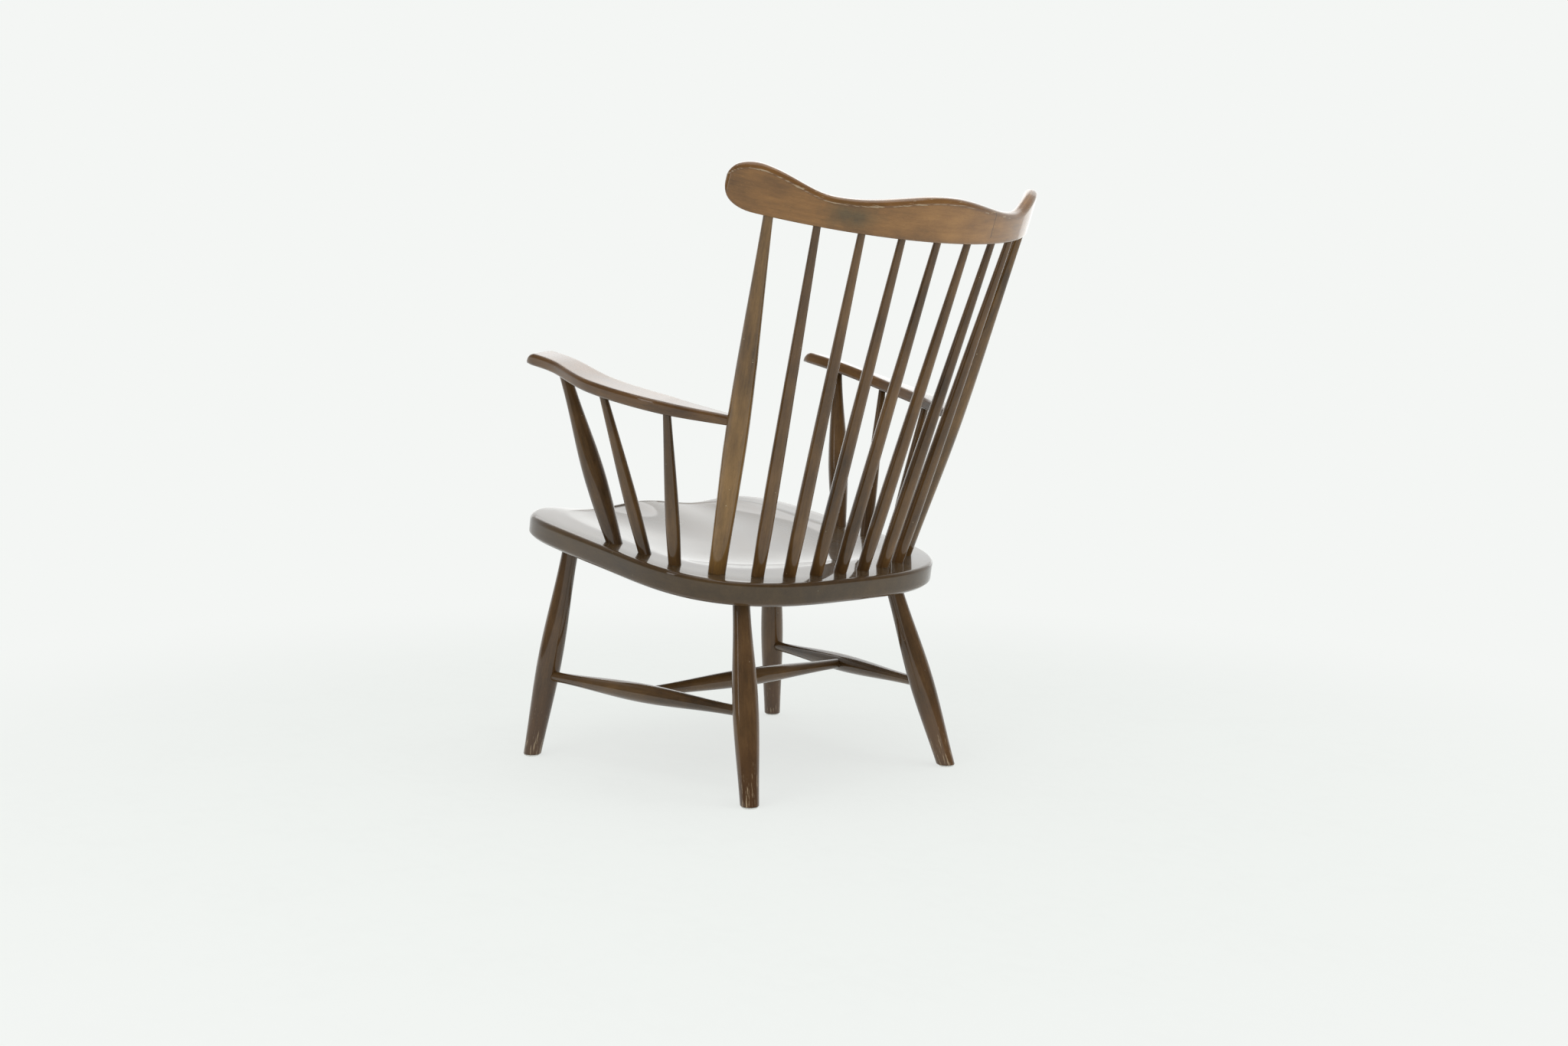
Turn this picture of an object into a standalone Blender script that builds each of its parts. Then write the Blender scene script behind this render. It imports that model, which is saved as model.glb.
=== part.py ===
# Spindle back armchair in stained beech: a saddled seat on four splayed legs,
# nine turned uprights under a bent crest rail, and two canted arms.
# Metres. +Z is up, the sitter faces -Y, and the chair is symmetric about X = 0.

from math import asin, cos, pi, radians, sin, sqrt

import bmesh
import bpy
from mathutils import Matrix, Vector

for old in list(bpy.data.objects):
    bpy.data.objects.remove(old, do_unlink=True)

# Fits
CLEARANCE = 0.0003            # gap between any two pieces that touch
SOCKET_RELIEF = 0.0010        # extra depth below the end of a tenon
SOCKET_MOUTH = 0.0120         # how far a socket's cut runs clear of its mouth

# Seat blank, in its own tilted frame: x across, y to the rear, z square to the seat
SEAT_HEIGHT = 0.3940          # top of the blank above the middle of the feet
SEAT_TILT = radians(8.6)      # front edge higher than the rear edge
SEAT_THICKNESS = 0.0400
SEAT_HALF_WIDTH = 0.3050
SEAT_REAR_REACH = 0.2690
SEAT_FRONT_REACH = 0.3320
SEAT_REAR_POWER = 3.0         # roundness of the rear outline, 2 is an ellipse
SEAT_FRONT_POWER = 6.2        # the front is nearly square with round corners
SEAT_EDGE_ROUND = 0.0070
SEAT_FRONT_ROUND = 0.0150     # waterfall edge under the knees
SEAT_CHAMFER = 0.0060         # round the underside
SEAT_SPOKES = 56

# Saddle carved into the seat
SCOOP_DEPTH = 0.0150
SCOOP_SIDE_MARGIN = 0.0690
SCOOP_HALF_WIDTH = SEAT_HALF_WIDTH - SCOOP_SIDE_MARGIN
SCOOP_REAR_REACH = 0.1720
SCOOP_FRONT_MARGIN = 0.0180
SCOOP_REAR_POWER = 2.7
SCOOP_FRONT_POWER = 5.0
SCOOP_FULLNESS = 2.6          # higher is a flatter bottom with a steeper wall
SCOOP_RINGS = (1.0, 0.94, 0.86, 0.74, 0.56, 0.30)
THIGH_DIP = 0.0110            # hollow at the front edge on each side of the pommel
THIGH_SIDE_MARGIN = 0.0600    # from where the hollow ends to the side of the seat
THIGH_SPAN = SEAT_HALF_WIDTH - THIGH_SIDE_MARGIN
THIGH_START = 0.0500          # in front of the middle of the seat

# Legs: where their centre lines meet the floor, and their run for each metre of height
FRONT_FOOT_INSET = 0.0139     # from the side of the seat
FRONT_FOOT_SETBACK = 0.0687   # from its front edge
REAR_FOOT_INSET = 0.0720
REAR_FOOT_SETBACK = 0.0060    # from its rear edge
FRONT_FOOT = (SEAT_HALF_WIDTH - FRONT_FOOT_INSET, FRONT_FOOT_SETBACK - SEAT_FRONT_REACH)
REAR_FOOT = (SEAT_HALF_WIDTH - REAR_FOOT_INSET, SEAT_REAR_REACH - REAR_FOOT_SETBACK)
FRONT_SPLAY_RATIOS = (-0.1350, 0.1240)
REAR_SPLAY_RATIOS = (-0.1690, -0.2780)
LEG_TENON = 0.0240
LEG_NECK = 0.0080             # straight length that stands clear of the seat

# Glides nailed under the legs
GLIDE_THICKNESS = 0.0030
GLIDE_RADIUS = 0.0142
GLIDE_FLAT_RADIUS = 0.0122    # what touches the floor
GLIDE_DOME = 0.0014           # height over which the rim slopes out
GLIDE_PIN_RADIUS = 0.0016
GLIDE_PIN_LENGTH = 0.0140

# Stretchers
STRETCHER_HEIGHT = 0.1460
STRETCHER_TENON = 0.0150      # depth inside the surface of the piece that holds it

# Uprights of the back, counted from the middle outwards
SPINDLES_EACH_SIDE = 3
POST_INSET = 0.0858           # of a back post from the side of the seat
POST_SPREAD = SEAT_HALF_WIDTH - POST_INSET
SPINDLE_PITCH = POST_SPREAD / (SPINDLES_EACH_SIDE + 1)   # spacing across the seat
BACK_ROW_INSET = 0.0440       # from the rear edge to the row on the centre line
BACK_ROW_SIDE_INSET = 0.0400
BACK_ROW_POWER = 2.7
BACK_TENON = 0.0240
NECK = 0.0060                 # straight length of a turned piece clear of its socket

# Crest rail: a board bent to part of an ellipse and leant back
CREST_LEAN = radians(19.5)
CREST_BEND_HALF_WIDTH = 0.4000
CREST_BEND_DEPTH = 0.2720
CREST_SETBACK = 0.1016        # of its middle, square to the lean, from the middle of the feet
CREST_LOWER_EDGE = 0.9985     # along the lean
CREST_THICKNESS = 0.0220
CREST_HUMP = 0.0717           # height of the board at the middle
CREST_DIP = 0.0488            # height where it is lowest
CREST_DIP_AT = 0.2050
CREST_EAR = 0.0755            # height at the ears
CREST_EAR_AT = 0.3200
CREST_OVERHANG = 0.0400       # of the rail's end past the side of the seat
CREST_LOBE_LENGTH = 0.0400    # of the round end of the ear
CREST_TIP = SEAT_HALF_WIDTH + CREST_OVERHANG
CREST_LOBE_START = CREST_TIP - CREST_LOBE_LENGTH
CREST_LOBE_CENTRE = 0.0400
CREST_LOBE_POWER = 2.5
CREST_TIP_ROUND = 0.0090
CREST_TOP_ROUND = 0.0085
CREST_BOTTOM_ROUND = 0.0040
CREST_TENON = 0.0260
CREST_POST_INSET = 0.0395     # of a back post from the rail's end
CREST_POST_GAP = 0.0775       # from a back post to the first spindle, along the bend
CREST_POST_ARC = CREST_TIP - CREST_POST_INSET
CREST_PITCH = (CREST_POST_ARC - CREST_POST_GAP) / SPINDLES_EACH_SIDE
CREST_STATIONS = 13           # from the middle to where the round end begins

# Arms, at the nose and over the three uprights: how far past the side of the seat,
# y and z of the underside, and half width
ARM_AT_NOSE = (0.0200, -0.2040, 0.7052, 0.0245)
ARM_AT_POST = (0.0161, -0.1253, 0.6895, 0.0240)
ARM_AT_FRONT_SPINDLE = (0.0235, -0.0087, 0.6592, 0.0266)
ARM_AT_REAR_SPINDLE = (-0.0032, 0.1276, 0.6317, 0.0240)
ARM_STATIONS = (ARM_AT_NOSE, ARM_AT_POST, ARM_AT_FRONT_SPINDLE, ARM_AT_REAR_SPINDLE)
ARM_END_HEIGHT = 0.6120       # underside where the arm meets the back post
ARM_END_HALF_WIDTH = 0.0090
ARM_THICKNESS = 0.0215
ARM_END_THICKNESS = 0.0165
ARM_CANT = radians(8.3)       # the top falls outwards
ARM_ROUND = 0.0060
ARM_NOSE = 0.0220             # length over which the nose rounds down
ARM_NOSE_STEPS = (0.02, 0.10, 0.26, 0.50, 1.0)
ARM_STEPS = 5                 # rings between two stations
ARM_TENON = 0.0150
ARM_DOWEL_RADIUS = 0.0040
ARM_DOWEL_IN_ARM = 0.0240     # from the face of the post
ARM_DOWEL_IN_POST = 0.0130

# Uprights under the arms, on the top of the seat: inset from its side, and y
ARM_POST_FOOT = (0.0385, -0.0565)
ARM_FRONT_SPINDLE_FOOT = (0.0437, 0.0220)
ARM_REAR_SPINDLE_FOOT = (0.0482, 0.0970)
ARM_FEET = (ARM_POST_FOOT, ARM_FRONT_SPINDLE_FOOT, ARM_REAR_SPINDLE_FOOT)

# Radii of the turned pieces at the lower or front end, at the swell and at the other end
LEG_TOE_RADIUS = 0.0155
LEG_SWELL_RADIUS = 0.0217
LEG_TOP_RADIUS = 0.0145
POST_FOOT_RADIUS = 0.0147
POST_SWELL_RADIUS = 0.0188
POST_TOP_RADIUS = 0.0080
SPINDLE_FOOT_RADIUS = 0.0109
SPINDLE_SWELL_RADIUS = 0.0119
SPINDLE_TOP_RADIUS = 0.0063
ARM_POST_FOOT_RADIUS = 0.0139
ARM_POST_SWELL_RADIUS = 0.0188
ARM_POST_TOP_RADIUS = 0.0102
ARM_SPINDLE_FOOT_RADIUS = 0.0108
ARM_SPINDLE_SWELL_RADIUS = 0.0119
ARM_SPINDLE_TOP_RADIUS = 0.0068
STRETCHER_END_RADIUS = 0.0090
SIDE_STRETCHER_SWELL_RADIUS = 0.0165
CROSS_STRETCHER_SWELL_RADIUS = 0.0160

# Turned shapes: the radii, where the swell lies, and how much each taper hollows towards its end
LEG = dict(start=LEG_TOE_RADIUS, swell=LEG_SWELL_RADIUS, end=LEG_TOP_RADIUS,
           swell_at=0.46, start_hollow=0.5, end_hollow=1.0)
POST = dict(start=POST_FOOT_RADIUS, swell=POST_SWELL_RADIUS, end=POST_TOP_RADIUS,
            swell_at=0.40, start_hollow=0.8, end_hollow=0.35)
SPINDLE = dict(start=SPINDLE_FOOT_RADIUS, swell=SPINDLE_SWELL_RADIUS, end=SPINDLE_TOP_RADIUS,
               swell_at=0.14, start_hollow=1.0, end_hollow=0.1)
ARM_POST = dict(start=ARM_POST_FOOT_RADIUS, swell=ARM_POST_SWELL_RADIUS, end=ARM_POST_TOP_RADIUS,
                swell_at=0.37, start_hollow=0.0, end_hollow=1.0)
ARM_SPINDLE = dict(start=ARM_SPINDLE_FOOT_RADIUS, swell=ARM_SPINDLE_SWELL_RADIUS, end=ARM_SPINDLE_TOP_RADIUS,
                   swell_at=0.24, start_hollow=0.5, end_hollow=0.3)
SIDE_STRETCHER = dict(start=STRETCHER_END_RADIUS, swell=SIDE_STRETCHER_SWELL_RADIUS,
                      end=STRETCHER_END_RADIUS, swell_at=0.50, start_hollow=0.8, end_hollow=0.8)
CROSS_STRETCHER = dict(start=STRETCHER_END_RADIUS, swell=CROSS_STRETCHER_SWELL_RADIUS,
                       end=STRETCHER_END_RADIUS, swell_at=0.50, start_hollow=0.8, end_hollow=0.8)
TAPER_RINGS = 5               # rings on each side of a swell

LEG_SIDES = 16
POST_SIDES = 14
SPINDLE_SIDES = 12

SIDES = (("left", 1.0), ("right", -1.0))

seat_frame = Matrix.Translation((0.0, 0.0, SEAT_HEIGHT)) @ Matrix.Rotation(-SEAT_TILT, 4, "X")
sockets = {}                  # cuts to make, by the name of the piece that is cut


# Materials

def plain_finish(name, colour, roughness, metallic=0.0, coat=0.4):
    material = bpy.data.materials.new(name)
    material.use_nodes = True
    shader = material.node_tree.nodes["Principled BSDF"]
    shader.inputs["Base Color"].default_value = (*colour, 1.0)
    shader.inputs["Roughness"].default_value = roughness
    shader.inputs["Metallic"].default_value = metallic
    shader.inputs["Coat Weight"].default_value = coat
    material.diffuse_color = (*colour, 1.0)
    return material


# Shared modelling steps

def new_object(name, bm, colour=(0.105, 0.056, 0.030), roughness=0.38, metallic=0.0, coat=0.4):
    bmesh.ops.remove_doubles(bm, verts=bm.verts, dist=1e-6)
    bmesh.ops.recalc_face_normals(bm, faces=bm.faces)
    mesh = bpy.data.meshes.new(name)
    bm.to_mesh(mesh)
    bm.free()
    mesh.shade_smooth()
    mesh.set_sharp_from_angle(angle=radians(32.0))
    mesh.materials.append(plain_finish(name + "_finish", colour, roughness, metallic, coat))
    obj = bpy.data.objects.new(name, mesh)
    bpy.context.scene.collection.objects.link(obj)
    return obj


def loft(bm, rings, start_cap=True, end_cap=True):
    loops = [[bm.verts.new(point) for point in ring] for ring in rings]
    for low, high in zip(loops, loops[1:]):
        for i in range(len(low)):
            j = (i + 1) % len(low)
            bm.faces.new((low[i], low[j], high[j], high[i]))
    if start_cap:
        bm.faces.new(loops[0])
    if end_cap:
        bm.faces.new(loops[-1])
    return loops


def axis_frame(start, end):
    turn = (end - start).to_track_quat("Z", "Y")
    return Matrix.Translation(start) @ turn.to_matrix().to_4x4()


def revolve(bm, profile, sides, frame=Matrix.Identity(4)):
    """Spin a profile of (height, radius) about the frame's Z axis and close both ends."""
    points = [(0.0, 0.0, profile[0][0])]
    points += [(radius, 0.0, height) for height, radius in profile]
    points.append((0.0, 0.0, profile[-1][0]))
    verts = [bm.verts.new(point) for point in points]
    edges = [bm.edges.new(pair) for pair in zip(verts, verts[1:])]
    before = set(bm.verts) - set(verts)
    bmesh.ops.spin(bm, geom=verts + edges, cent=(0, 0, 0), axis=(0, 0, 1), angle=2.0 * pi,
                   steps=sides, use_merge=True)
    spun = [vert for vert in bm.verts if vert not in before]
    bmesh.ops.remove_doubles(bm, verts=spun, dist=1e-6)
    spun = [vert for vert in bm.verts if vert not in before]
    bmesh.ops.transform(bm, matrix=frame, verts=spun)


def socket(host, start, end, radius, sides, depth):
    """Note a round hole for a tenon that begins at start and points along the piece to end."""
    along = (end - start).normalized()
    bottom = start - along * SOCKET_RELIEF
    sockets.setdefault(host, []).append(
        (bottom, end, radius + CLEARANCE, sides, SOCKET_RELIEF + depth + SOCKET_MOUTH))


def cut(host, cutter):
    cutter.hide_render = True
    cutter.display_type = "WIRE"
    modifier = host.modifiers.new(cutter.name, "BOOLEAN")
    modifier.operation = "DIFFERENCE"
    modifier.solver = "EXACT"
    modifier.object = cutter


def cut_sockets(host):
    bm = bmesh.new()
    for bottom, towards, radius, sides, length in sockets[host.name]:
        revolve(bm, [(0.0, radius), (length, radius)], sides, axis_frame(bottom, towards))
    cut(host, new_object(host.name + "_sockets", bm))


# Turned pieces

def taper(u, hollow):
    return (1.0 - hollow) * u ** 1.5 + hollow * sin(pi * u / 2.0) ** 2


def turned_radius(t, shape):
    if t < shape["swell_at"]:
        u = 1.0 - t / shape["swell_at"]
        return shape["swell"] - (shape["swell"] - shape["start"]) * taper(u, shape["start_hollow"])
    u = (t - shape["swell_at"]) / (1.0 - shape["swell_at"])
    return shape["swell"] - (shape["swell"] - shape["end"]) * taper(u, shape["end_hollow"])


def turned_profile(length, start_straight, end_straight, shape, grow=0.0):
    free = length - start_straight - end_straight
    swell = shape["swell_at"]
    steps = [swell * i / TAPER_RINGS for i in range(TAPER_RINGS)]
    steps += [swell + (1.0 - swell) * i / TAPER_RINGS for i in range(TAPER_RINGS + 1)]
    profile = [(0.0, shape["start"] + grow)]
    profile += [(start_straight + free * t, turned_radius(t, shape) + grow) for t in steps]
    profile.append((length, shape["end"] + grow))
    return profile


def turned(name, start, end, shape, sides, start_straight, end_straight):
    """A turned piece between its two extreme ends, tenons included."""
    bm = bmesh.new()
    revolve(bm, turned_profile((end - start).length, start_straight, end_straight, shape), sides)
    obj = new_object(name, bm)
    obj.matrix_world = axis_frame(start, end)
    return obj


# Seat

def squared_reach(phi, half_width, front, rear, front_power, rear_power):
    """Distance from the middle to a squared ellipse, in the direction phi."""
    ahead = sin(phi) < 0.0
    power = front_power if ahead else rear_power
    along = abs(sin(phi)) / (front if ahead else rear)
    across = abs(cos(phi)) / half_width
    return (across ** power + along ** power) ** (-1.0 / power)


def seat_reach(phi):
    return squared_reach(phi, SEAT_HALF_WIDTH, SEAT_FRONT_REACH, SEAT_REAR_REACH,
                         SEAT_FRONT_POWER, SEAT_REAR_POWER)


def scoop_reach(phi):
    return squared_reach(phi, SCOOP_HALF_WIDTH, SEAT_FRONT_REACH - SCOOP_FRONT_MARGIN, SCOOP_REAR_REACH,
                         SCOOP_FRONT_POWER, SCOOP_REAR_POWER)


def thigh_hollow(x, y):
    across = sin(pi * min(abs(x), THIGH_SPAN) / THIGH_SPAN) ** 2
    along = (-y - THIGH_START) / (SEAT_FRONT_REACH - THIGH_START)
    return THIGH_DIP * across * max(0.0, min(1.0, along)) ** 2


def seat_point(phi, radius, height, on_top=True):
    x, y = radius * cos(phi), radius * sin(phi)
    return (x, y, height - (thigh_hollow(x, y) if on_top else 0.0))


def make_seat():
    directions = [2.0 * pi * i / SEAT_SPOKES for i in range(SEAT_SPOKES)]

    def ring(radius, height, on_top=True):
        return [seat_point(phi, radius(phi), height(phi), on_top) for phi in directions]

    def edge_round(phi):
        return SEAT_EDGE_ROUND + (SEAT_FRONT_ROUND - SEAT_EDGE_ROUND) * max(0.0, -sin(phi)) ** 2

    rings = [
        ring(lambda phi: seat_reach(phi) - SEAT_CHAMFER, lambda phi: -SEAT_THICKNESS, False),
        ring(seat_reach, lambda phi: SEAT_CHAMFER - SEAT_THICKNESS, False),
    ]
    for turn in (0.0, pi / 6.0, pi / 3.0, pi / 2.0):
        rings.append(ring(lambda phi: seat_reach(phi) - edge_round(phi) * (1.0 - cos(turn)),
                          lambda phi: -edge_round(phi) * (1.0 - sin(turn))))
    for share in SCOOP_RINGS:
        depth = SCOOP_DEPTH * (1.0 - share ** SCOOP_FULLNESS)
        rings.append(ring(lambda phi: scoop_reach(phi) * share, lambda phi: -depth))
    bm = bmesh.new()
    loops = loft(bm, rings, end_cap=False)
    middle = bm.verts.new((0.0, 0.0, -SCOOP_DEPTH))
    inner = loops[-1]
    for i in range(SEAT_SPOKES):
        bm.faces.new((inner[i], inner[(i + 1) % SEAT_SPOKES], middle))
    seat = new_object("seat", bm, colour=(0.120, 0.064, 0.036), roughness=0.30)
    seat.matrix_world = seat_frame
    return seat


def on_seat(x, y, depth=0.0):
    return seat_frame @ Vector((x, y, -depth))


def meet_underside(foot, along):
    """Where a line up from the floor meets the underside of the seat."""
    normal = seat_frame.to_3x3() @ Vector((0.0, 0.0, 1.0))
    plane_point = on_seat(0.0, 0.0, SEAT_THICKNESS)
    return foot + along * ((plane_point - foot).dot(normal) / along.dot(normal))


# Legs, glides and stretchers

def leg_axis(foot, splay, side):
    """Foot on the floor and direction of a leg's centre line."""
    start = Vector((side * foot[0], foot[1], 0.0))
    return start, Vector((side * splay[0], splay[1], 1.0))


def make_glide(name, foot):
    bm = bmesh.new()
    revolve(bm, [(0.0, GLIDE_FLAT_RADIUS), (GLIDE_DOME, GLIDE_RADIUS),
                 (GLIDE_THICKNESS, GLIDE_RADIUS), (GLIDE_THICKNESS, GLIDE_PIN_RADIUS),
                 (GLIDE_THICKNESS + GLIDE_PIN_LENGTH, GLIDE_PIN_RADIUS)], SPINDLE_SIDES)
    glide = new_object(name, bm, colour=(0.58, 0.57, 0.54), roughness=0.35, metallic=1.0, coat=0.0)
    glide.location = foot
    return glide


def make_leg(name, foot, splay, side):
    floor_point, along = leg_axis(foot, splay, side)
    head = meet_underside(floor_point, along)
    along.normalize()
    top = head + along * LEG_TENON
    bottom = floor_point - along * GLIDE_THICKNESS
    leg = turned(name, bottom, top, LEG, LEG_SIDES, GLIDE_THICKNESS, LEG_TENON + LEG_NECK)
    toe = leg.matrix_world.inverted()
    bm = bmesh.new()
    bm.from_mesh(leg.data)
    plane_point = toe @ Vector((floor_point.x, floor_point.y, GLIDE_THICKNESS + CLEARANCE))
    plane_normal = toe.to_3x3() @ Vector((0.0, 0.0, 1.0))
    sawn = bmesh.ops.bisect_plane(bm, geom=bm.verts[:] + bm.edges[:] + bm.faces[:], plane_co=plane_point,
                                  plane_no=plane_normal, clear_inner=True)
    rim = [item for item in sawn["geom_cut"] if isinstance(item, bmesh.types.BMEdge)]
    bmesh.ops.edgeloop_fill(bm, edges=rim)
    bm.to_mesh(leg.data)
    bm.free()
    leg.data.set_sharp_from_angle(angle=radians(32.0))
    socket("seat", top, bottom, LEG["end"], LEG_SIDES, LEG_TENON)
    pin_top = floor_point + Vector((0.0, 0.0, GLIDE_THICKNESS + GLIDE_PIN_LENGTH))
    socket(name, pin_top, floor_point, GLIDE_PIN_RADIUS, SPINDLE_SIDES, GLIDE_PIN_LENGTH)
    make_glide(name.replace("leg", "glide"), floor_point)
    return leg


def leg_radius_at(height, foot, splay, side):
    floor_point, along = leg_axis(foot, splay, side)
    head = meet_underside(floor_point, along)
    share = (height * along.length) / ((head - floor_point).length - LEG_NECK)
    return turned_radius(share, LEG)


def make_stretcher(name, hosts, ends, radii, shape, sides):
    """A stretcher between the centre lines of two pieces, given the radius of each."""
    along = (ends[1] - ends[0]).normalized()
    start = ends[0] + along * (radii[0] - STRETCHER_TENON)
    end = ends[1] - along * (radii[1] - STRETCHER_TENON)
    straight = STRETCHER_TENON + NECK
    turned(name, start, end, shape, sides, straight, straight)
    socket(hosts[0], start, end, shape["start"], sides, STRETCHER_TENON)
    socket(hosts[1], end, start, shape["end"], sides, STRETCHER_TENON)


def at_height(foot, splay, side, height):
    start, along = leg_axis(foot, splay, side)
    return start + along * height


# Back

def back_row(x):
    """How far behind the middle of the seat the row of uprights runs."""
    half_width = SEAT_HALF_WIDTH - BACK_ROW_SIDE_INSET
    depth = SEAT_REAR_REACH - BACK_ROW_INSET
    return depth * (1.0 - (abs(x) / half_width) ** BACK_ROW_POWER) ** (1.0 / BACK_ROW_POWER)


def crest_point(angle, offset, height):
    """A point of the rail: place on the bend, offset to the rear and height above its lower edge."""
    across = CREST_BEND_HALF_WIDTH * cos(angle)
    inwards = CREST_BEND_DEPTH * sin(angle)
    length = sqrt(across * across + inwards * inwards)
    x = CREST_BEND_HALF_WIDTH * sin(angle) + offset * inwards / length
    back = CREST_SETBACK - CREST_BEND_DEPTH * (1.0 - cos(angle)) + offset * across / length
    rise = CREST_LOWER_EDGE + height
    return Vector((x, back * cos(CREST_LEAN) + rise * sin(CREST_LEAN),
                   rise * cos(CREST_LEAN) - back * sin(CREST_LEAN)))


def bend_angle(arc):
    """Angle on the ellipse at a length along the bend."""
    step = 0.0005
    angle = travelled = 0.0
    while travelled < abs(arc):
        pace = sqrt((CREST_BEND_HALF_WIDTH * cos(angle)) ** 2 + (CREST_BEND_DEPTH * sin(angle)) ** 2)
        angle += step / pace
        travelled += step
    return angle if arc >= 0.0 else -angle


def ease(u):
    return sin(pi * max(0.0, min(1.0, u)) / 2.0) ** 2


def crest_height(x):
    """Height of the board before its end is rounded: a hump, a dip and an ear."""
    x = abs(x)
    if x < CREST_DIP_AT:
        return CREST_HUMP + (CREST_DIP - CREST_HUMP) * ease(x / CREST_DIP_AT)
    return CREST_DIP + (CREST_EAR - CREST_DIP) * ease((x - CREST_DIP_AT) / (CREST_EAR_AT - CREST_DIP_AT))


def rounded_section(low, high, half_thickness, low_round, high_round, corner_steps):
    """Points (offset, height) round a board's section, from its lower front corner."""
    limit = min(half_thickness, (high - low) / 2.0) * 0.98
    low_round, high_round = min(low_round, limit), min(high_round, limit)
    corners = ((-half_thickness + low_round, low + low_round, low_round, pi),
               (half_thickness - low_round, low + low_round, low_round, 1.5 * pi),
               (half_thickness - high_round, high - high_round, high_round, 0.0),
               (-half_thickness + high_round, high - high_round, high_round, 0.5 * pi))
    points = []
    for offset, height, radius, first in corners:
        for i in range(corner_steps + 1):
            turn = first + 0.5 * pi * i / corner_steps
            points.append((offset + radius * cos(turn), height + radius * sin(turn)))
    return points


def crest_ring(x):
    """Section of the rail at a distance x from the middle."""
    low, high, half_thickness = 0.0, crest_height(x), CREST_THICKNESS / 2.0
    if abs(x) > CREST_LOBE_START:
        u = (abs(x) - CREST_LOBE_START) / (CREST_TIP - CREST_LOBE_START)
        close = (1.0 - u ** CREST_LOBE_POWER) ** (1.0 / CREST_LOBE_POWER)
        low = CREST_LOBE_CENTRE * (1.0 - close)
        high = CREST_LOBE_CENTRE + (high - CREST_LOBE_CENTRE) * close
    past = (abs(x) - (CREST_TIP - CREST_TIP_ROUND)) / CREST_TIP_ROUND
    if past > 0.0:
        half_thickness *= sqrt(1.0 - past * past)
    angle = asin(x / CREST_BEND_HALF_WIDTH)
    section = rounded_section(low, high, half_thickness, CREST_BOTTOM_ROUND, CREST_TOP_ROUND, 3)
    return [crest_point(angle, offset, height) for offset, height in section]


def make_crest_rail():
    half = [CREST_LOBE_START * i / CREST_STATIONS for i in range(CREST_STATIONS + 1)]
    lobe = CREST_TIP - CREST_LOBE_START
    half += [CREST_LOBE_START + lobe * sin(radians(turn)) for turn in (18.0, 36.0, 52.0, 66.0, 77.0, 85.0)]
    stations = [-x for x in reversed(half[1:])] + half
    bm = bmesh.new()
    loft(bm, [crest_ring(x) for x in stations])
    return new_object("crest_rail", bm)


def make_upright(name, foot, head, shape, sides):
    """A back post or spindle from the seat to the lower edge of the rail."""
    along = (head - foot).normalized()
    start = foot - along * BACK_TENON
    end = head + along * CREST_TENON
    obj = turned(name, start, end, shape, sides, BACK_TENON + NECK, CREST_TENON + NECK)
    socket("seat", start, end, shape["start"], sides, BACK_TENON)
    socket("crest_rail", end, start, shape["end"], sides, CREST_TENON)
    return obj


# Arms

def smooth_between(a, b, c, d, t):
    """Catmull-Rom value between b and c."""
    return 0.5 * (2.0 * b + (c - a) * t + (2.0 * a - 5.0 * b + 4.0 * c - d) * t * t
                  + (3.0 * b - a - 3.0 * c + d) * t * t * t)


def make_arm(name, side, post_foot, post_head):
    share = (ARM_END_HEIGHT - post_foot.z) / (post_head.z - post_foot.z)
    on_post = post_foot.lerp(post_head, share)
    stations = [Vector((side * (SEAT_HALF_WIDTH + past), y, z, width)) for past, y, z, width in ARM_STATIONS]
    stations.append(Vector((*on_post, ARM_END_HALF_WIDTH)))
    ends = [stations[0] * 2.0 - stations[1]] + stations + [stations[-1] * 2.0 - stations[-2]]
    last = len(stations) - 1
    nose_length = (stations[1] - stations[0]).to_3d().length

    def at(t):
        i = min(int(t), last - 1)
        return smooth_between(ends[i], ends[i + 1], ends[i + 2], ends[i + 3], t - i)

    def frame(t):
        along = (at(min(t + 0.01, last)) - at(max(t - 0.01, 0.0))).to_3d().normalized()
        outwards = along.cross(Vector((0.0, 0.0, 1.0))).normalized() * side
        up = outwards.cross(along).normalized() * side
        canted_out = outwards * cos(ARM_CANT) - up * sin(ARM_CANT)
        canted_up = outwards * sin(ARM_CANT) + up * cos(ARM_CANT)
        return along, canted_out, canted_up

    def ring(t):
        point = at(t)
        along, out, up = frame(t)
        travelled = t * nose_length
        thickness = ARM_THICKNESS + (ARM_END_THICKNESS - ARM_THICKNESS) * max(0.0, (t - last + 1.0))
        width = point.w
        if travelled < ARM_NOSE:
            rounding = sqrt(1.0 - (1.0 - travelled / ARM_NOSE) ** 2)
            thickness *= 0.12 + 0.88 * rounding
            width -= ARM_ROUND * (1.0 - rounding)
        section = rounded_section(0.0, thickness, width, ARM_ROUND, ARM_ROUND, 3)
        return [point.to_3d() + out * offset + up * height for offset, height in section]

    nose = [ARM_NOSE * share / nose_length for share in ARM_NOSE_STEPS]
    later = [i / ARM_STEPS for i in range(1, last * ARM_STEPS + 1)]
    bm = bmesh.new()
    loft(bm, [ring(t) for t in [0.0] + nose + later])
    arm = new_object(name, bm, roughness=0.28)
    along, out, up = frame(last)
    middle = on_post + up * (ARM_END_THICKNESS / 2.0)
    return arm, stations, middle, along


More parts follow.
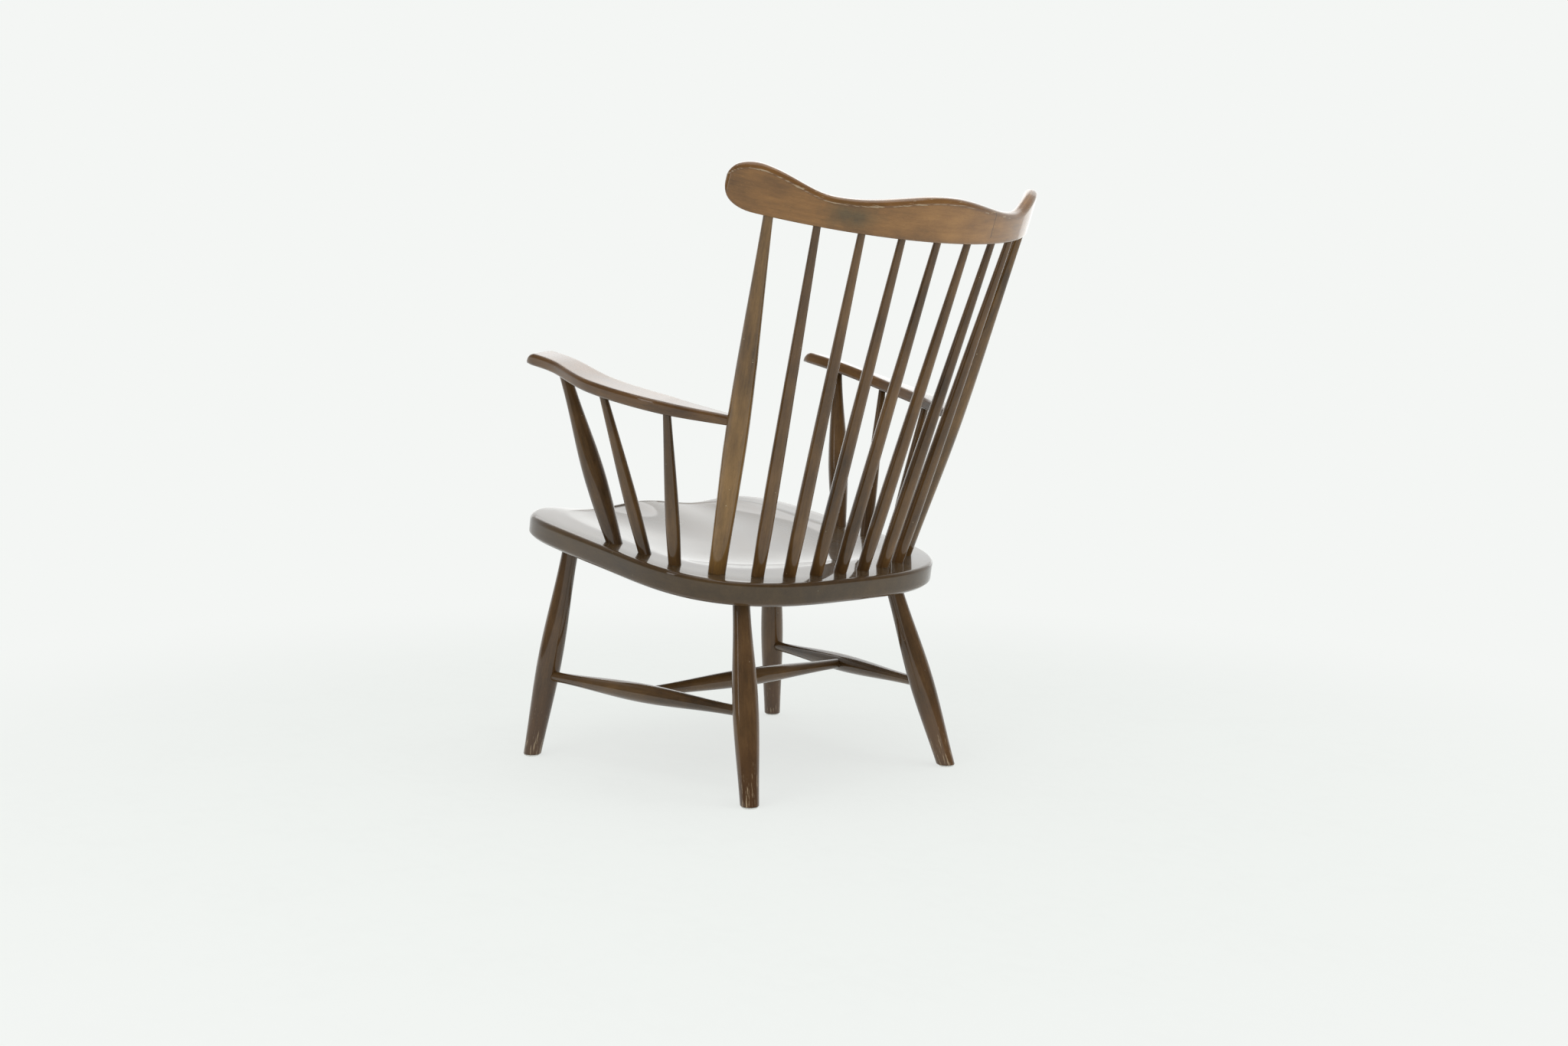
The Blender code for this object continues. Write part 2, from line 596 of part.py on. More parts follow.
def make_arm_uprights(side_name, side, stations, arm_name):
    kinds = (("arm_post", ARM_POST, POST_SIDES), ("arm_spindle_front", ARM_SPINDLE, SPINDLE_SIDES),
             ("arm_spindle_rear", ARM_SPINDLE, SPINDLE_SIDES))
    for (kind, shape, sides), foot, station in zip(kinds, ARM_FEET, stations[1:4]):
        low = on_seat(side * (SEAT_HALF_WIDTH - foot[0]), foot[1])
        high = station.to_3d()
        along = (high - low).normalized()
        start = low - along * BACK_TENON
        end = high + along * ARM_TENON
        turned(kind + "_" + side_name, start, end, shape, sides, BACK_TENON + NECK, ARM_TENON + NECK)
        socket("seat", start, end, shape["start"], sides, BACK_TENON)
        socket(arm_name, end, start, shape["end"], sides, ARM_TENON)


# Build

seat = make_seat()
crest_rail = make_crest_rail()
hosts = [seat, crest_rail]

for end_name, foot, splay in (("front", FRONT_FOOT, FRONT_SPLAY_RATIOS),
                              ("rear", REAR_FOOT, REAR_SPLAY_RATIOS)):
    for side_name, side in SIDES:
        hosts.append(make_leg("leg_" + end_name + "_" + side_name, foot, splay, side))

middles = []
for side_name, side in SIDES:
    ends = (at_height(FRONT_FOOT, FRONT_SPLAY_RATIOS, side, STRETCHER_HEIGHT),
            at_height(REAR_FOOT, REAR_SPLAY_RATIOS, side, STRETCHER_HEIGHT))
    radii = (leg_radius_at(STRETCHER_HEIGHT, FRONT_FOOT, FRONT_SPLAY_RATIOS, side),
             leg_radius_at(STRETCHER_HEIGHT, REAR_FOOT, REAR_SPLAY_RATIOS, side))
    name = "side_stretcher_" + side_name
    make_stretcher(name, ("leg_front_" + side_name, "leg_rear_" + side_name), ends, radii,
                   SIDE_STRETCHER, POST_SIDES)
    hosts.append(bpy.data.objects[name])
    middles.append((ends[0] + ends[1]) / 2.0)

make_stretcher("cross_stretcher", ("side_stretcher_left", "side_stretcher_right"), middles,
               (SIDE_STRETCHER["swell"], SIDE_STRETCHER["swell"]), CROSS_STRETCHER, POST_SIDES)

spindle_count = 0
for k in range(SPINDLES_EACH_SIDE, -SPINDLES_EACH_SIDE - 1, -1):
    spindle_count += 1
    x = k * SPINDLE_PITCH
    make_upright("back_spindle_" + str(spindle_count), on_seat(x, back_row(x)),
                 crest_point(bend_angle(k * CREST_PITCH), 0.0, 0.0), SPINDLE, SPINDLE_SIDES)

for side_name, side in SIDES:
    foot = on_seat(side * POST_SPREAD, back_row(POST_SPREAD))
    arc = side * CREST_POST_ARC
    head = crest_point(bend_angle(arc), 0.0, 0.0)
    post = make_upright("back_post_" + side_name, foot, head, POST, POST_SIDES)
    arm, stations, joint, along = make_arm("arm_" + side_name, side, foot, head)
    make_arm_uprights(side_name, side, stations, arm.name)

    # The arm's end is coped to the post, and a dowel holds the two together.
    bm = bmesh.new()
    length = (head - foot).length + BACK_TENON + CREST_TENON
    revolve(bm, turned_profile(length, BACK_TENON + NECK, CREST_TENON + NECK, POST, CLEARANCE), POST_SIDES,
            post.matrix_world)
    cut(arm, new_object(arm.name + "_coping", bm))
    in_post = joint - along * (POST["swell"] - ARM_DOWEL_IN_POST)
    in_arm = joint - along * (POST["swell"] + ARM_DOWEL_IN_ARM)
    bm = bmesh.new()
    revolve(bm, [(0.0, ARM_DOWEL_RADIUS), ((in_arm - in_post).length, ARM_DOWEL_RADIUS)], SPINDLE_SIDES)
    dowel = new_object("arm_dowel_" + side_name, bm, colour=(0.45, 0.30, 0.17), roughness=0.6, coat=0.0)
    dowel.matrix_world = axis_frame(in_post, in_arm)
    socket(arm.name, in_arm, in_post, ARM_DOWEL_RADIUS, SPINDLE_SIDES, ARM_DOWEL_IN_ARM)
    socket(post.name, in_post, in_arm, ARM_DOWEL_RADIUS, SPINDLE_SIDES, ARM_DOWEL_IN_POST)
    hosts += [arm, post]

for host in hosts:
    cut_sockets(host)

# The whole chair hangs from one empty, which puts the origin under the middle of its length.
chair = bpy.data.objects.new("chair", None)
bpy.context.scene.collection.objects.link(chair)
bpy.context.view_layer.update()
reach = [(obj.matrix_world @ vert.co).y for obj in (seat, crest_rail) for vert in obj.data.vertices]
chair.location.y = -(min(reach) + max(reach)) / 2.0
for obj in bpy.data.objects:
    if obj.type == "MESH":
        obj.parent = chair
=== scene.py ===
from math import asin, cos, pi, radians, sin, sqrt

import bmesh
import bpy
from mathutils import Matrix, Vector


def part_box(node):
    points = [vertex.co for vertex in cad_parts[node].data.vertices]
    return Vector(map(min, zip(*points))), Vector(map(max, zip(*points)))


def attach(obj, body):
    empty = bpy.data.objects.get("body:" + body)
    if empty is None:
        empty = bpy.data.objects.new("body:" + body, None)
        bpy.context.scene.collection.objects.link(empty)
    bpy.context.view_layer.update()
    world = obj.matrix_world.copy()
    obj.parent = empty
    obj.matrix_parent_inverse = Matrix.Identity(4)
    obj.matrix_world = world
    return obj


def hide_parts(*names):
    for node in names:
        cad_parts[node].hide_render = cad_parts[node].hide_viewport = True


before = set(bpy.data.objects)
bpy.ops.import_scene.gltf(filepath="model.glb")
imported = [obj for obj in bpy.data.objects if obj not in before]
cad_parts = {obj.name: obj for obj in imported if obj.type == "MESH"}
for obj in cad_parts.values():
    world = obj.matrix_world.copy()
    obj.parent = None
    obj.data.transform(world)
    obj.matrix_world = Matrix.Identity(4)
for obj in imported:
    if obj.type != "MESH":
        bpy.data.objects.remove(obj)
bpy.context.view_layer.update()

scene = bpy.context.scene
print("frame loaded:", len(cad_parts), "nodes")

# dark walnut stain on beech, under a clear lacquer; colours are linear, and pairs are a ramp's stops
stain = {
    "gathered": (0.046, 0.0245, 0.0095),   # where the stain lies thick
    "body": (0.112, 0.0590, 0.0210),
    "thin": (0.205, 0.1130, 0.0430),       # where it took less
    "edge": (0.105, 0.0440, 0.0150),       # handled edges, where it shows redder
    "bare": (0.420, 0.3100, 0.1950),       # rubbed or nicked through to the beech
    "speck": (0.420, 0.3500, 0.2500),
    "crack": (0.012, 0.0080, 0.0050),
    "bodyAt": 0.49,                        # the noise level of the body colour
    "gatheredBelow": 0.11,                 # how far under it the stain has gathered, for a figure of 1
    "thinAbove": 0.14,                     # and how far over it the stain is thin
    "darkTicks": ((0.27, 0.45), (0.36, 0.0)),
    "paleTicks": ((0.66, 0.0), (0.74, 0.35)),
    "speckCells": 125.0,                   # to a metre; a few of them hold a speck
    "speckDot": ((0.06, 0.8), (0.13, 0.0)),
    "edgeShare": 0.8,                      # how far a rubbed edge takes the edge colour
    "rubbedPush": 0.5,                     # how much rubbing helps the scratches through
    "worn": ((0.83, 0.0), (0.92, 1.0)),
    "roughness": 0.40,
    "blotchRoughness": 0.12,
    "wornRoughness": 0.2,
    "specular": 0.1,                       # of the wood under the lacquer
    "lacquerIor": 1.5,
    "fibreBump": 0.000008,                 # metres
    "ripple": 0.00002,                     # long waves in the lacquer, in metres
    "rippleScale": 25.0,
}

# scale, detail, roughness, scale along the grain, shift, and share in how deep the stain lies
woodNoise = {
    "cloud": (10.0, 2.0, 0.50, 0.45, (0.0, 0.0, 0.0), 0.46),
    "blotch": (52.0, 3.0, 0.55, 0.35, (4.0, 1.0, 2.0), 0.30),
    "streak": (240.0, 3.0, 0.55, 0.030, (0.0, 0.0, 0.0), 0.14),
    "fibre": (1000.0, 2.0, 0.55, 0.045, (0.0, 0.0, 0.0), 0.10),
    "tick": (1500.0, 1.0, 0.50, 0.13, (3.1, 1.7, 0.4), 0.0),
    "scratch": (420.0, 4.0, 0.62, 0.07, (1.0, 9.0, 2.0), 0.0),
}

def addNode(tree, kind, at, **settings):
    node = tree.nodes.new(kind)
    node.location = at
    for key, value in settings.items():
        setattr(node, key, value)
    return node

def feed(tree, socket, value):
    if isinstance(value, bpy.types.NodeSocket):
        tree.links.new(value, socket)
    elif isinstance(value, tuple) and len(value) == 3 and socket.type == "RGBA":
        socket.default_value = (*value, 1.0)
    else:
        socket.default_value = value

def noiseAt(tree, vector, at, scale, detail, roughness=0.5, stretch=(1.0, 1.0, 1.0), shift=(0.0, 0.0, 0.0)):
    mapping = addNode(tree, "ShaderNodeMapping", (at[0] - 180, at[1]))
    feed(tree, mapping.inputs["Vector"], vector)
    feed(tree, mapping.inputs["Scale"], stretch)
    feed(tree, mapping.inputs["Location"], shift)
    noise = addNode(tree, "ShaderNodeTexNoise", at)
    feed(tree, noise.inputs["Vector"], mapping.outputs["Vector"])
    feed(tree, noise.inputs["Scale"], scale)
    feed(tree, noise.inputs["Detail"], detail)
    feed(tree, noise.inputs["Roughness"], roughness)
    return noise.outputs["Fac"]

def rampAt(tree, value, at, stops):
    ramp = addNode(tree, "ShaderNodeValToRGB", at)
    points = ramp.color_ramp.elements
    while len(points) < len(stops):
        points.new(0.5)
    for point, (place, colour) in zip(points, stops):
        point.position = place
        point.color = (colour, colour, colour, 1.0) if isinstance(colour, float) else (*colour, 1.0)
    feed(tree, ramp.inputs["Fac"], value)
    return ramp.outputs["Color"]

def mixAt(tree, factor, a, b, at, blend="MIX"):
    mix = addNode(tree, "ShaderNodeMix", at, data_type="RGBA", blend_type=blend)
    for socket, value in ((mix.inputs[0], factor), (mix.inputs[6], a), (mix.inputs[7], b)):
        feed(tree, socket, value)
    return mix.outputs[2]

def mathAt(tree, operation, a, b, at, c=0.0):
    node = addNode(tree, "ShaderNodeMath", at, operation=operation)
    for socket, value in zip(node.inputs, (a, b, c)):
        feed(tree, socket, value)
    return node.outputs[0]

def stainedWood(name, tone, gloss, speckAbove, figure, marks=None):
    # the wood runs along Z of woodAt, a place that each piece carries in its own mesh
    material = bpy.data.materials.new(name)
    material.use_nodes = True
    tree = material.node_tree
    shader = tree.nodes["Principled BSDF"]
    wood = addNode(tree, "ShaderNodeAttribute", (-2300, 0), attribute_name="woodAt").outputs["Vector"]
    rubbed = addNode(tree, "ShaderNodeAttribute", (-2300, -900), attribute_name="rubbed").outputs["Fac"]

    noise = {}
    depth = 0.0
    for row, (layer, (scale, detail, roughness, along, shift, share)) in enumerate(woodNoise.items()):
        noise[layer] = noiseAt(tree, wood, (-1900, 700 - 250 * row), scale, detail, roughness,
                               (1.0, 1.0, along), shift)
        if share:
            place = (-1600 + 150 * row, 600 - 100 * row)
            depth = mathAt(tree, "MULTIPLY_ADD", noise[layer], share, place, depth)
    colour = rampAt(tree, depth, (-980, 350),
                    ((stain["bodyAt"] - stain["gatheredBelow"] * figure, stain["gathered"]),
                     (stain["bodyAt"], stain["body"]),
                     (stain["bodyAt"] + stain["thinAbove"] * figure, stain["thin"])))
    darkTicks = rampAt(tree, noise["tick"], (-1500, -300), stain["darkTicks"])
    paleTicks = rampAt(tree, noise["tick"], (-1500, -520), stain["paleTicks"])
    colour = mixAt(tree, darkTicks, colour, stain["gathered"], (-700, 350))
    colour = mixAt(tree, paleTicks, colour, stain["thin"], (-540, 350))

    # a few pale specks, about a millimetre across
    cells = addNode(tree, "ShaderNodeTexVoronoi", (-1700, -760))
    feed(tree, cells.inputs["Vector"], wood)
    feed(tree, cells.inputs["Scale"], stain["speckCells"])
    lot = addNode(tree, "ShaderNodeSeparateColor", (-1500, -900))
    feed(tree, lot.inputs["Color"], cells.outputs["Color"])
    drawn = mathAt(tree, "GREATER_THAN", lot.outputs[0], speckAbove, (-1320, -900))
    dot = rampAt(tree, cells.outputs["Distance"], (-1500, -720), stain["speckDot"])
    dot = mathAt(tree, "MULTIPLY", dot, drawn, (-1150, -760))
    colour = mixAt(tree, dot, colour, stain["speck"], (-380, 350))

    colour = mixAt(tree, 1.0, colour, tone, (-220, 350), "MULTIPLY")
    if marks:
        smudge = smudgeMask(tree, wood, marks)
        colour = mixAt(tree, smudge, colour, marks["smudgeTint"], (-60, 500), "MULTIPLY")

    # edges and toes, worn redder, then rubbed and scratched through
    redder = mathAt(tree, "MULTIPLY", rubbed, stain["edgeShare"], (-220, 650))
    colour = mixAt(tree, redder, colour, stain["edge"], (100, 500))
    worn = mathAt(tree, "MULTIPLY_ADD", rubbed, stain["rubbedPush"], (-1500, -1100), noise["scratch"])
    worn = rampAt(tree, worn, (-1340, -1100), stain["worn"])
    colour = mixAt(tree, worn, colour, stain["bare"], (260, 500))
    if marks:
        colour = mixAt(tree, crackMask(tree, wood, marks), colour, stain["crack"], (420, 500))
    feed(tree, shader.inputs["Base Color"], colour)

    rough = mathAt(tree, "MULTIPLY_ADD", noise["blotch"], stain["blotchRoughness"], (-560, -100),
                   stain["roughness"])
    rough = mathAt(tree, "MULTIPLY_ADD", worn, stain["wornRoughness"], (-400, -100), rough)
    feed(tree, shader.inputs["Roughness"], rough)
    shader.inputs["Specular IOR Level"].default_value = stain["specular"]
    shader.inputs["Coat Weight"].default_value = 1.0
    shader.inputs["Coat Roughness"].default_value = gloss
    shader.inputs["Coat IOR"].default_value = stain["lacquerIor"]

    wave = addNode(tree, "ShaderNodeBump", (-700, -450))
    feed(tree, wave.inputs["Distance"], stain["ripple"])
    feed(tree, wave.inputs["Height"],
         noiseAt(tree, wood, (-900, -500), stain["rippleScale"], 1.0, 0.4, (1.0, 1.0, 0.4)))
    grain = addNode(tree, "ShaderNodeBump", (-450, -600))
    feed(tree, grain.inputs["Distance"], stain["fibreBump"])
    feed(tree, grain.inputs["Height"], mathAt(tree, "SUBTRACT", noise["fibre"], worn, (-700, -650)))
    feed(tree, grain.inputs["Normal"], wave.outputs["Normal"])
    feed(tree, shader.inputs["Normal"], grain.outputs["Normal"])
    feed(tree, shader.inputs["Coat Normal"], wave.outputs["Normal"])
    return material

def smudgeMask(tree, wood, marks):
    # a dark, soft-edged patch of stain; it reads height and place along the rail, not depth
    high, along = marks["smudgeAt"]
    highReach, alongReach = marks["smudgeReach"]
    centre = addNode(tree, "ShaderNodeMapping", (-1900, 1700))
    feed(tree, centre.inputs["Vector"], wood)
    feed(tree, centre.inputs["Scale"], (0.0, 1.0 / highReach, 1.0 / alongReach))
    feed(tree, centre.inputs["Location"], (0.0, -high / highReach, -along / alongReach))
    length = addNode(tree, "ShaderNodeVectorMath", (-1700, 1700), operation="LENGTH")
    feed(tree, length.inputs[0], centre.outputs["Vector"])
    ragged = noiseAt(tree, wood, (-1900, 1500), marks["smudgeNoise"], 3.0)
    away = mathAt(tree, "MULTIPLY_ADD", ragged, marks["smudgeRagged"], (-1500, 1650), length.outputs["Value"])
    away = mathAt(tree, "MULTIPLY", away, 0.5, (-1350, 1650))
    return rampAt(tree, away, (-1200, 1650), marks["smudgeFade"])

def crackMask(tree, wood, marks):
    # a thin check across the rail: a wavering line at one place along the wood
    place = addNode(tree, "ShaderNodeSeparateXYZ", (-1500, 1100))
    feed(tree, place.inputs[0], wood)
    high, along = place.outputs["Y"], place.outputs["Z"]
    waver = noiseAt(tree, wood, (-1500, 1350), marks["crackNoise"], 2.0)
    along = mathAt(tree, "MULTIPLY_ADD", waver, marks["crackWaver"], (-1250, 1250), along)
    along = mathAt(tree, "MULTIPLY_ADD", high, marks["crackLean"], (-1100, 1250), along)
    away = mathAt(tree, "SUBTRACT", along, marks["crackAt"], (-950, 1250))
    away = mathAt(tree, "ABSOLUTE", away, 0.0, (-800, 1250))
    line = mathAt(tree, "LESS_THAN", away, marks["crackHalfWidth"], (-650, 1250))
    over = mathAt(tree, "GREATER_THAN", high, marks["crackFrom"], (-950, 1050))
    under = mathAt(tree, "LESS_THAN", high, marks["crackTo"], (-950, 900))
    inside = mathAt(tree, "MULTIPLY", over, under, (-800, 1000))
    return mathAt(tree, "MULTIPLY", line, inside, (-500, 1150))

def deselectAll():
    bpy.ops.object.select_all(action="DESELECT")

def selectOnly(piece):
    deselectAll()
    piece.select_set(True)
    bpy.context.view_layer.objects.active = piece

def setRing(piece, ring):
    # moves the corners of the selected face; each has a place, a place in the wood, and how rubbed it is
    bm = bmesh.from_edit_mesh(piece.data)
    wood = bm.verts.layers.float_vector.get("woodAt") or bm.verts.layers.float_vector.new("woodAt")
    rubbed = bm.verts.layers.float.get("rubbed") or bm.verts.layers.float.new("rubbed")
    face = next(face for face in bm.faces if face.select)
    for loop, (place, woodPlace, wear) in zip(face.loops, ring):
        loop.vert.co = place
        loop.vert[wood] = woodPlace
        loop.vert[rubbed] = wear
    bmesh.update_edit_mesh(piece.data)

def drawRings(name, rings):
    # a disc, extruded and shaped ring by ring
    deselectAll()
    bpy.ops.mesh.primitive_circle_add(vertices=len(rings[0]), radius=0.1, fill_type="NGON")
    piece = bpy.context.object
    piece.name = piece.data.name = name
    bpy.ops.object.mode_set(mode="EDIT")
    bpy.ops.mesh.select_all(action="SELECT")
    setRing(piece, rings[0])
    for ring in rings[1:]:
        bpy.ops.mesh.extrude_region_move()
        setRing(piece, ring)
    bpy.ops.mesh.select_all(action="SELECT")
    bpy.ops.mesh.normals_make_consistent(inside=False)
    bpy.ops.object.mode_set(mode="OBJECT")
    return piece

def finishPiece(piece, material, nodes, sharpAt=38.0):
    selectOnly(piece)
    bpy.ops.object.transform_apply(location=True, rotation=True, scale=True)
    bpy.ops.object.shade_smooth_by_angle(angle=radians(sharpAt))
    piece.data.materials.clear()
    piece.data.materials.append(material)
    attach(piece, "root")
    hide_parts(*nodes)

turning = {
    "sides": 40,
    "cuts": 36,
    "endSlice": 0.0022,                 # the metres of each end whose points give its centre
    "toeOverrun": 0.003,                # a leg's blank starts this far below the floor, to be sawn
    "toeSawnAt": 0.0033,                # above the floor, just clear of the glide
    "toeRim": 0.0009,
    "toeWear": 0.56,
    "toeWornHeight": 0.13,
    "grainTurn": 2.4,                   # from one piece's grain to the next, in radians
    "grainShift": (0.31, 0.17, 0.83),
}

def ends(node):
    # both ends of a turned piece's centre line, the lower one first, from its CAD mesh
    places = {tuple(round(value, 5) for value in vert.co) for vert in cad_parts[node].data.vertices}
    places = [Vector(place) for place in sorted(places)]
    low = min(places, key=lambda place: place.z)
    far = max(places, key=lambda place: (place - low).length)
    low = max(places, key=lambda place: (place - far).length)
    along = (far - low).normalized()
    for _ in range(3):
        reach = [(place - low).dot(along) for place in places]
        first = [place for place, at in zip(places, reach) if at < min(reach) + turning["endSlice"]]
        last = [place for place, at in zip(places, reach) if at > max(reach) - turning["endSlice"]]
        start = sum(first, Vector()) / len(first)
        end = sum(last, Vector()) / len(last)
        along = (end - start).normalized()
    return (start, end) if start.z < end.z else (end, start)

# metres; swellAt is a share of the length between the tenons, and a hollow of 1 eases into its end
turnedShapes = {
    "leg": dict(length=0.392, tenons=(0.003, 0.032), start=0.0155, swell=0.0217, end=0.0145,
                swellAt=0.46, startHollow=0.5, endHollow=1.0),
    "post": dict(length=0.660, tenons=(0.030, 0.032), start=0.0147, swell=0.0188, end=0.0080,
                 swellAt=0.40, startHollow=0.8, endHollow=0.35),
    "spindle": dict(length=0.646, tenons=(0.030, 0.032), start=0.0109, swell=0.0119, end=0.0063,
                    swellAt=0.14, startHollow=1.0, endHollow=0.1),
    "armPost": dict(length=0.350, tenons=(0.030, 0.021), start=0.0139, swell=0.0188, end=0.0102,
                    swellAt=0.37, startHollow=0.0, endHollow=1.0),
    "armSpindle": dict(length=0.310, tenons=(0.030, 0.021), start=0.0108, swell=0.0119, end=0.0068,
                       swellAt=0.24, startHollow=0.5, endHollow=0.3),
    "sideStretcher": dict(length=0.462, tenons=(0.021, 0.021), start=0.0090, swell=0.0165, end=0.0090,
                          swellAt=0.50, startHollow=0.8, endHollow=0.8),
    "crossStretcher": dict(length=0.477, tenons=(0.021, 0.021), start=0.0090, swell=0.0160, end=0.0090,
                           swellAt=0.50, startHollow=0.8, endHollow=0.8),
}

def taper(u, hollow):
    return (1.0 - hollow) * u ** 1.5 + hollow * sin(pi * u / 2.0) ** 2

def turnedRadius(t, shape):
    if t < shape["swellAt"]:
        u = 1.0 - t / shape["swellAt"]
        return shape["swell"] - (shape["swell"] - shape["start"]) * taper(u, shape["startHollow"])
    u = (t - shape["swellAt"]) / (1.0 - shape["swellAt"])
    return shape["swell"] - (shape["swell"] - shape["end"]) * taper(u, shape["endHollow"])

def turnOnLathe(kind):
    # a round blank, drawn up the lathe step by step and sized at each
    shape, cuts = turnedShapes[kind], turning["cuts"]
    deselectAll()
    bpy.ops.mesh.primitive_circle_add(vertices=turning["sides"], radius=shape["start"], fill_type="NGON")
    blank = bpy.context.object
    blank.name = blank.data.name = "blank_" + kind
    bpy.ops.object.mode_set(mode="EDIT")
    bpy.ops.mesh.select_all(action="SELECT")
    free = shape["length"] - sum(shape["tenons"])
    steps = [(shape["tenons"][0] + free * i / cuts, turnedRadius(i / cuts, shape)) for i in range(cuts + 1)]
    steps.append((shape["length"], shape["end"]))
    height, radius = 0.0, shape["start"]
    for nextHeight, nextRadius in steps:
        bpy.ops.mesh.extrude_region_move(TRANSFORM_OT_translate={"value": (0.0, 0.0, nextHeight - height)})
        grow = nextRadius / radius
        bpy.ops.transform.resize(value=(grow, grow, 1.0), center_override=(0.0, 0.0, nextHeight))
        height, radius = nextHeight, nextRadius
    bpy.ops.mesh.select_all(action="SELECT")
    bpy.ops.mesh.normals_make_consistent(inside=False)
    bpy.ops.object.mode_set(mode="OBJECT")
    return blank

def sawToe(leg):
    # cut level just above the glide, with the rim broken a little
    selectOnly(leg)
    bpy.ops.object.transform_apply(location=True, rotation=True, scale=True)
    bpy.ops.object.mode_set(mode="EDIT")
    bpy.ops.mesh.select_all(action="SELECT")
    bpy.ops.mesh.bisect(plane_co=(0.0, 0.0, turning["toeSawnAt"]), plane_no=(0.0, 0.0, 1.0), use_fill=True,
                        clear_inner=True)
    bpy.ops.mesh.bevel(offset=turning["toeRim"], segments=3, affect="EDGES")
    bpy.ops.object.mode_set(mode="OBJECT")

def setTurned(blank, node, material, seed):
    # a copy of the blank, stretched to its place, with grain of its own
    start, end = ends(node)
    isLeg = node.startswith("leg_")
    if isLeg:
        low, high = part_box(node.replace("leg", "glide"))
        start = Vector(((low.x + high.x) / 2.0, (low.y + high.y) / 2.0, 0.0))
        start -= (end - start).normalized() * turning["toeOverrun"]
    selectOnly(blank)
    bpy.ops.object.duplicate()
    piece = bpy.context.object
    piece.name = piece.data.name = "turned_" + node
    marks = piece.data.attributes
    marks.new("woodAt", "FLOAT_VECTOR", "POINT")
    marks.new("rubbed", "FLOAT", "POINT")
    turn = Matrix.Rotation(seed * turning["grainTurn"], 4, "Z")
    shift = Vector(turning["grainShift"]) * seed
    length = max(vert.co.z for vert in piece.data.vertices)
    for vert in piece.data.vertices:
        marks["woodAt"].data[vert.index].vector = turn @ vert.co + shift
        if isLeg:
            share = max(0.0, 1.0 - vert.co.z / turning["toeWornHeight"])
            marks["rubbed"].data[vert.index].value = turning["toeWear"] * sqrt(share)
    stretch = Matrix.Diagonal((1.0, 1.0, (end - start).length / length, 1.0))
    facing = (end - start).to_track_quat("Z", "Y").to_matrix().to_4x4()
    piece.matrix_world = Matrix.Translation(start) @ facing @ stretch
    if isLeg:
        sawToe(piece)
    finishPiece(piece, material, [node])

turnedPlaces = [("cross_stretcher", "crossStretcher")]
for side in ("left", "right"):
    turnedPlaces += [("leg_front_" + side, "leg"), ("leg_rear_" + side, "leg"),
                     ("side_stretcher_" + side, "sideStretcher"), ("back_post_" + side, "post"),
                     ("arm_post_" + side, "armPost"), ("arm_spindle_front_" + side, "armSpindle"),
                     ("arm_spindle_rear_" + side, "armSpindle")]
turnedPlaces += [("back_spindle_" + str(number), "spindle") for number in range(1, 8)]

# tone, roughness of the lacquer, the lot above which a cell holds a speck, and how strong the figure is
turnedLooks = {
    # the legs' tone is lowered as painted shade, for the shadow of the seat over them
    "leg": ("stained beech legs with painted shade", (0.86, 0.82, 0.80), 0.07, 0.96, 1.3),
    "post": ("stained beech posts", (1.35, 1.33, 1.10), 0.08, 0.955, 1.0),
    "spindle": ("stained beech spindles", (0.98, 0.92, 0.80), 0.08, 0.96, 1.3),
    "plain": ("stained beech rungs", (0.80, 0.77, 0.69), 0.08, 0.975, 1.3),   # and the arms' uprights
}
turnedWoods = {kind: stainedWood(*look) for kind, look in turnedLooks.items()}
blanks = {kind: turnOnLathe(kind) for kind in turnedShapes}
for number, (node, kind) in enumerate(turnedPlaces):
    setTurned(blanks[kind], node, turnedWoods.get(kind, turnedWoods["plain"]), number + 1)
for blank in blanks.values():
    bpy.data.objects.remove(blank)
print("turned pieces:", len(turnedPlaces))

seat = {
    "height": 0.394, "tilt": radians(8.6), "setBack": -0.0638,
    "thickness": 0.040, "halfWidth": 0.305, "rear": 0.269, "front": 0.332,
    "rearPower": 3.0, "frontPower": 6.2,
    "edgeRound": 0.0070, "frontRound": 0.0150, "chamfer": 0.0060,
    "scoopDepth": 0.0150, "scoopHalfWidth": 0.236, "scoopRear": 0.172, "scoopFrontMargin": 0.018,
    "scoopRearPower": 2.7, "scoopFrontPower": 5.0, "scoopFullness": 2.6,
    "thighDip": 0.0110, "thighSpan": 0.245, "thighStart": 0.050,
    "arris": 0.0008, "arrisIn": 0.0006, "arrisUp": 0.0007,   # the broken corners of the chamfer
    "chamferRubbed": (0.3, 0.4, 0.2), "edgeRubbed": 0.25, "scoopLip": 0.0004,
    "spokes": 192, "underShares": (0.05, 0.5, 0.9), "sideShares": (0.25, 0.5, 0.75), "edgeRings": 8,
    "rimShares": (0.4, 0.8, 0.94), "scoopRings": 23, "grainAway": 3.0,
    "tone": (0.54, 0.58, 0.54), "gloss": 0.045, "speckAbove": 0.985, "figure": 2.0,
}

def squaredReach(phi, halfWidth, front, rear, frontPower, rearPower):
    ahead = sin(phi) < 0.0
    power = frontPower if ahead else rearPower
    along = abs(sin(phi)) / (front if ahead else rear)
    across = abs(cos(phi)) / halfWidth
    return (across ** power + along ** power) ** (-1.0 / power)

def seatReach(phi):
    return squaredReach(phi, seat["halfWidth"], seat["front"], seat["rear"],
                        seat["frontPower"], seat["rearPower"])

def scoopReach(phi):
    return squaredReach(phi, seat["scoopHalfWidth"], seat["front"] - seat["scoopFrontMargin"],
                        seat["scoopRear"], seat["scoopFrontPower"], seat["scoopRearPower"])

def thighHollow(x, y):
    across = sin(pi * min(abs(x), seat["thighSpan"]) / seat["thighSpan"]) ** 2
    along = (-y - seat["thighStart"]) / (seat["front"] - seat["thighStart"])
    return seat["thighDip"] * across * max(0.0, min(1.0, along)) ** 2

